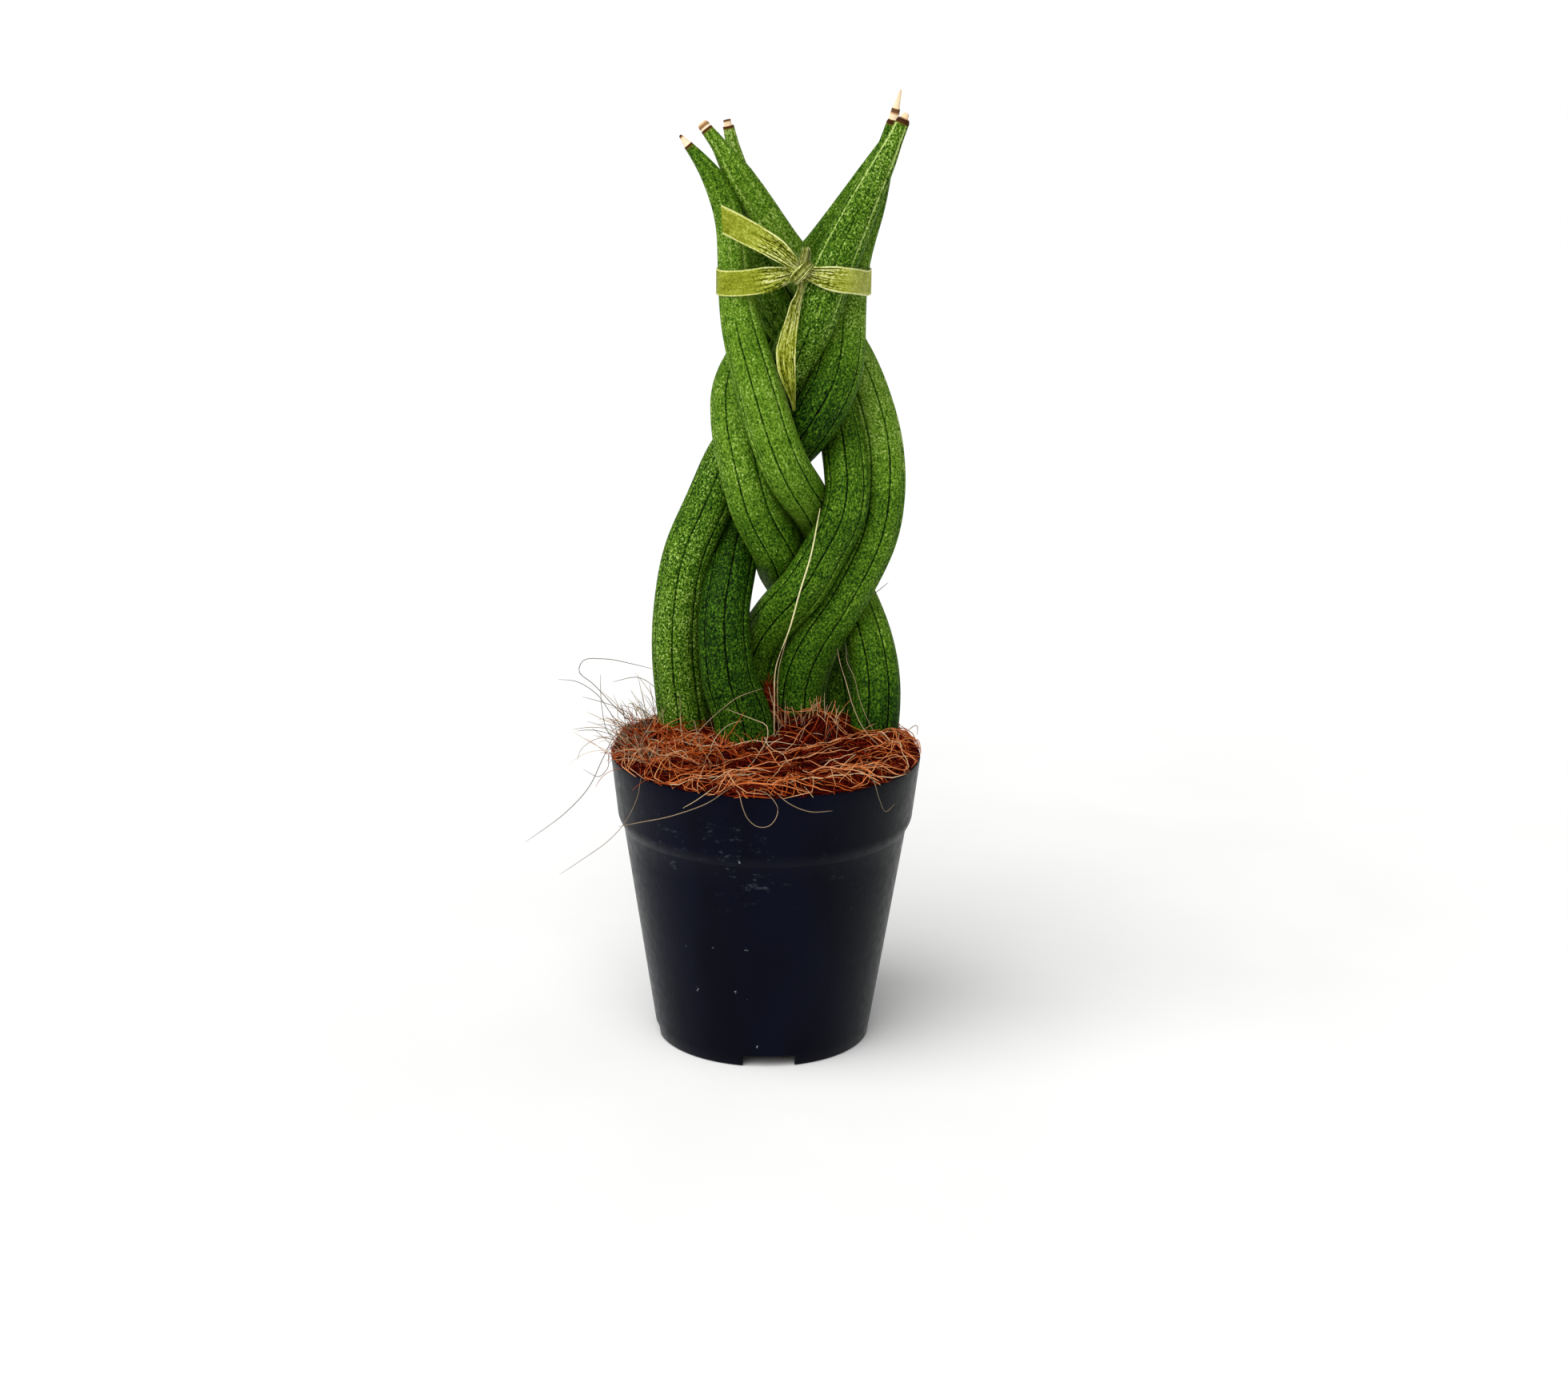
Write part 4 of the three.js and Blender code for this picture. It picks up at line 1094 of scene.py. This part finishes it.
def put_strip(name, line, widths, facing, pleats, satin, look, replaced=None, slant=0.0):
    """A ribbon along a line. widths, facing and pleats say how wide it is at each point, which
    way its front looks and how deep its pleats are.

    satin has how creased it looks at each point, which sets its painted glints and crease shade,
    and how much painted light brightens or darkens it. Its last end is cut at a
    slant.
    """
    distance = along(line)
    ahead = unit(np.gradient(line, axis=0))
    out = unit(facing - (facing * ahead).sum(1)[:, None] * ahead)
    over = np.cross(ahead, out)
    share = np.linspace(-1, 1, RIBBON_POINTS)
    half = RIBBON_THICKNESS / 2
    ripple = pleats[:, None] * np.cos(share * math.pi * 2.5 + 0.6)[None]
    middle = line[:, None] + over[:, None] * (widths[:, None] / 2 * share)[..., None]
    lean = slant * widths / 2 * smoothstep(distance, distance[-1] - 7, distance[-1])
    middle += ahead[:, None] * (lean[:, None] * share)[..., None]
    front = middle + out[:, None] * (ripple + half)[..., None]
    back = middle + out[:, None] * (ripple - half)[..., None]
    points, faces = skin(np.concatenate([front, back[:, ::-1]], axis=1))
    faces = [tuple(reversed(f)) for f in faces]
    round_share = np.concatenate([share, share[::-1]])
    weave = xyz(distance[:, None], round_share * RIBBON_WIDTH / 2, 0.0).reshape(-1, 3)
    values = {
        "weave": np.vstack([weave, [0, 0, 0], [distance[-1], 0, 0]]),
        "creased": on_skin(satin[0], len(round_share)),
        "painted_light": on_skin(satin[1], len(round_share)),
    }
    put_mesh(name, points, faces, look, replaced, values)


def ribbon_look():
    look = Look("satin_ribbon", specular=0.04)
    weave = look.vector("weave")
    creased = look.value("creased")
    parts = look.node("ShaderNodeSeparateXYZ", {"Vector": weave}).outputs
    across = look.math("ABSOLUTE", parts["Y"])
    # Painted light makes parts of the ribbon brighter or darker.
    shade = look.plus(look.value("painted_light"), 0.47)
    shade = look.sway(shade, look.noise(weave, (0.3, 0.4, 1), 3), 0.5)
    shade = look.sway(shade, look.noise(weave, (2.6, 4.2, 1), 2, 0.6), 0.7)
    # Painted glints, and light and dark streaks of painted highlight and crease shade, gather where the satin
    # is creased.
    glitter = look.noise(weave, (1.5, 2.8, 1), 3, 0.7)
    painted_glints = look.times(look.math("SUBTRACT", glitter, 0.5), look.ranged(creased, 0, 1, 0.5, 3.2))
    streaks = look.noise(weave, (0.14, 2.6, 1), 2, 0.6)
    painted_streaks = look.times(look.math("SUBTRACT", streaks, 0.5), look.ranged(creased, 0, 1, 0.3, 4.4))
    shade = look.plus(shade, look.plus(painted_glints, painted_streaks))
    shade = look.plus(shade, look.ranged(across, 2.04, 2.16, 0, 0.38))
    colour = look.ramp(shade, [
        [0.08, (48, 58, 2)], [0.33, (116, 128, 20)], [0.5, (156, 166, 46)],
        [0.72, (204, 212, 96)], [0.95, (246, 248, 176)],
    ])
    look.set("Base Color", colour)
    look.set("Roughness", look.ranged(glitter, 0.3, 0.7, 0.5, 0.32))
    lengthwise = look.wave(weave, 2.2, 0.4, "Y")
    crosswise = look.wave(weave, 1.4, 1.0, "X")
    relief = look.plus(lengthwise, look.times(crosswise, 0.6))
    look.set("Normal", look.bump(look.plus(relief, glitter), 0.05))
    return look.material


# The ribbon's ends: [name, depth of its pleats, how creased it is, how much painted light
# brightens or darkens its far end, slant of its cut end, places]. A place is [x, y from the
# band's front, z, width].
TAILS = [
    ["ribbon_upper_tail", 0.3, 0.1, 0.02, 0.55, [
        [4.9, -0.7, 150.4, 1.9], [3.4, -0.9, 151.9, 2.8], [0.9, -0.8, 153.9, 4.0],
        [-2.9, -0.3, 156, 4.5], [-6.4, 0, 157.8, 4.7], [-9.2, 0.2, 159.1, 4.7],
    ]],
    ["ribbon_lower_tail", 0.15, 0.45, -0.2, 0, [
        [5.4, -0.8, 149, 1.4], [5.4, -1.2, 146.8, 1.2], [5, -1.4, 145.3, 1.5], [4.55, -1.5, 144, 2.0],
        [3.95, -1.8, 141.2, 2.45], [3.3, -1.9, 138.3, 3.1], [2.85, -2, 135.3, 3.7], [3, -2.2, 132.3, 3.4],
        [3.6, -2.2, 129.3, 2.3], [4.25, -2.1, 126.3, 1.0], [4.5, -2, 124.3, 0.4],
    ]],
]
# The knot: two straps that wrap over its core, and a fold that stands up out of it.
KNOT_STRAPS = {
    "ribbon_knot_under": [
        [3.2, 0.5, 151.1, 1.2], [3.8, -0.9, 150.7, 1.9], [4.95, -1.7, 150, 2.2], [6.15, -1.4, 149, 2.0],
        [6.8, -0.2, 148.4, 1.3],
    ],
    "ribbon_knot_wrap": [
        [7.2, 0.6, 151.5, 1.4], [6.9, -1, 151.2, 1.9], [6.1, -2.1, 150.6, 2.1], [5.05, -2.4, 149.5, 2.2],
        [4.2, -1.6, 148.5, 1.9], [3.95, -0.2, 148, 1.3],
    ],
    "ribbon_knot_fold": [
        [5.5, -1.2, 150.8, 1.6], [5.8, -1.7, 152.2, 1.5], [6.1, -1.6, 153.6, 1.3], [6.3, -1, 154.3, 1.2],
        [6.5, -0.5, 153.6, 1.2], [6.4, -0.5, 152, 1.3],
    ],
}


def strip_route(places, front, step):
    """A ribbon's line through places, and the share of its length and the width at each point."""
    places = np.array(places) + (0, front, 0, 0)
    line = evenly(places[:, :3], step)
    known = along(places[:, :3])
    at = along(line) / along(line)[-1]
    return line, at, np.interp(at, known / known[-1], places[:, 3])


def make_ribbon():
    look = ribbon_look()
    loop = band_loop()
    flat = evenly(xyz(loop[:, 0], loop[:, 1], 0.0), BAND_STEP)
    place = along(flat)
    share = place / place[-1]
    from_knot = place[-1] * np.minimum(share, 1 - share)
    spread = smoothstep(from_knot, -1, BAND_GATHER)
    level = BAND_RIGHT + (BAND_LEFT - BAND_RIGHT) * share
    right = np.minimum(from_knot / BAND_RISES[0], 1)
    left = np.sin(np.minimum(from_knot / BAND_RISES[1], 1) * math.pi / 2)
    flat[:, 2] = KNOT_HEIGHT + (level - KNOT_HEIGHT) * np.where(share < 0.5, right, left)
    tangent = unit(np.gradient(flat, axis=0))
    outward = xyz(tangent[:, 1], -tangent[:, 0], 0.0)
    flat += outward * BAND_LIFT * np.sin(math.pi * right)[:, None]
    for place_x, place_y, lift, lean, reach in BAND_LIFTS:
        near = np.exp(-((flat[:, 0] - place_x) ** 2 + (flat[:, 1] - place_y) ** 2) / reach**2)[:, None]
        flat += outward * lift * near
        outward = unit(outward + near * [0, 0, lean])
    widths = BAND_GATHERED + (RIBBON_WIDTH - BAND_GATHERED) * spread
    pleats = BAND_PLEATS * (1 - smoothstep(from_knot, 1, 8))
    creases = 1 - smoothstep(from_knot, 2, 11)
    # Painted light: one side of the band is painted brighter than the other.
    painted_light = np.where(share < 0.5, 0.1, -0.03)
    band = slice(1, -1)
    satin = np.stack([creases, painted_light])[:, band]
    put_strip("ribbon_band", flat[band], widths[band], outward[band], pleats[band], satin, look, "ribbon")
    front = flat[0, 1]
    for name, pleat, creased, painted_light_change, slant, places in TAILS:
        line, at, widths = strip_route(places, front, TAIL_STEP)
        fold = pleat * (1 - smoothstep(at, 0.1, 0.6))
        creases = creased + (1 - creased) * (1 - smoothstep(along(line), 3, 12))
        # Painted light brightens or darkens each tail towards its far end.
        painted_light = painted_light_change * smoothstep(at, 0.55, 0.9)
        put_strip(name, line, widths, FORWARD, fold, np.stack([creases, painted_light]), look, slant=slant)
    make_knot(front, look)


def make_knot(front, look):
    core = np.array(KNOT_CORE) + (0, front, 0)
    for name, places in KNOT_STRAPS.items():
        line, at, widths = strip_route(places, front, STRAP_STEP)
        away = line - core
        if name.endswith("fold"):
            away = np.cross(np.gradient(line, axis=0), (1, 0, 0))
        # The knot's straps are creased all along, with a little painted light.
        satin = np.stack([np.ones(len(at)), np.full(len(at), 0.03)])
        pleats = STRAP_PLEATS * np.sin(math.pi * at) ** 0.5
        put_strip(name, line, widths, away, pleats, satin, look)
    cosines, sines = circle(KNOT_SIDES)
    slopes = np.linspace(-math.pi / 2, math.pi / 2, 13)[1:-1, None]
    ball = xyz(np.cos(slopes) * cosines, np.cos(slopes) * sines, np.sin(slopes))
    points, faces = skin(ball * KNOT_SIZE + core)
    values = {"weave": points, "creased": np.ones(len(points)), "painted_light": np.zeros(len(points))}
    put_mesh("ribbon_knot_core", points, faces, look, values=values)


# ------------------------------------------------------------------ studio


def make_camera():
    forward = Vector((0, math.cos(CAMERA_ELEVATION), -math.sin(CAMERA_ELEVATION)))
    right = Vector((1, 0, 0))
    up = right.cross(forward)
    x = math.cos(CAMERA_ROLL) * right + math.sin(CAMERA_ROLL) * up
    y = math.cos(CAMERA_ROLL) * up - math.sin(CAMERA_ROLL) * right
    data = bpy.data.cameras.new("camera")
    data.sensor_width = 36
    data.lens = CAMERA_LENS
    data.clip_start = 0.01
    data.clip_end = 50
    camera = put_object("camera", data)
    turn = Matrix((x, y, -forward)).transposed()
    place = Vector(CAMERA_TARGET) * MM - CAMERA_DISTANCE * MM * forward
    camera.matrix_world = Matrix.Translation(place) @ turn.to_4x4()
    bpy.context.scene.camera = camera


def make_floor():
    mesh = bpy.data.meshes.new("floor")
    corners = [(FLOOR_HALF * x, FLOOR_HALF * y, 0) for x, y in ((-1, -1), (1, -1), (1, 1), (-1, 1))]
    mesh.from_pydata(corners, [], [(0, 1, 2, 3)])
    look = Look("floor_paper", roughness=0.9, specular=0.1)
    grain = look.noise(look.place(), 0.02, 3)
    look.set("Base Color", look.mix(look.ranged(grain, 0.3, 0.7), rgb(243, 243, 242), rgb(246, 246, 245)))
    mesh.materials.append(look.material)
    floor = put_object("floor", mesh)


def make_sun():
    """A wide soft light, even over the whole floor."""
    data = bpy.data.lights.new("key", "SUN")
    data.angle = SUN_SPREAD
    data.energy = SUN_STRENGTH
    light = put_object("key", data)
    light.rotation_euler = Vector(SUN_TOWARDS).to_track_quat("Z", "Y").to_euler()


def make_studio():
    make_camera()
    make_floor()
    world = bpy.data.worlds.new("studio")
    bpy.context.scene.world = world
    world.use_nodes = True
    background = world.node_tree.nodes["Background"].inputs
    background["Color"].default_value = (1, 1, 1, 1)
    background["Strength"].default_value = SKY_STRENGTH
    make_sun()
    bpy.context.scene.view_settings.view_transform = "Standard"


# ------------------------------------------------------------------ the plant

LEAF_LINES = []
LEAF_FEET = []
for leaf_name in LEAVES:
    leaf_line, leaf_reach, _ = leaf_axis(leaf_name)
    leaf_places = np.arange(0, along(leaf_line)[-1], LINE_STEP)
    fine_line = smooth_line(leaf_line, leaf_places)
    fine_reach = np.interp(leaf_places, along(leaf_line), leaf_reach)
    LEAF_LINES.append((fine_line, fine_reach))
    low_part = fine_line[:, 2] < LOW_LEAVES
    LEAF_FEET.append((fine_line[low_part], fine_reach[low_part] + LEAF_SWELL))

make_studio()
make_pot()
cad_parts["soil"].data.materials.clear()
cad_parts["soil"].data.materials.append(soil_look())
make_mat()
make_fibres()
for leaf_name in LEAVES:
    make_leaf(leaf_name)
make_ribbon()
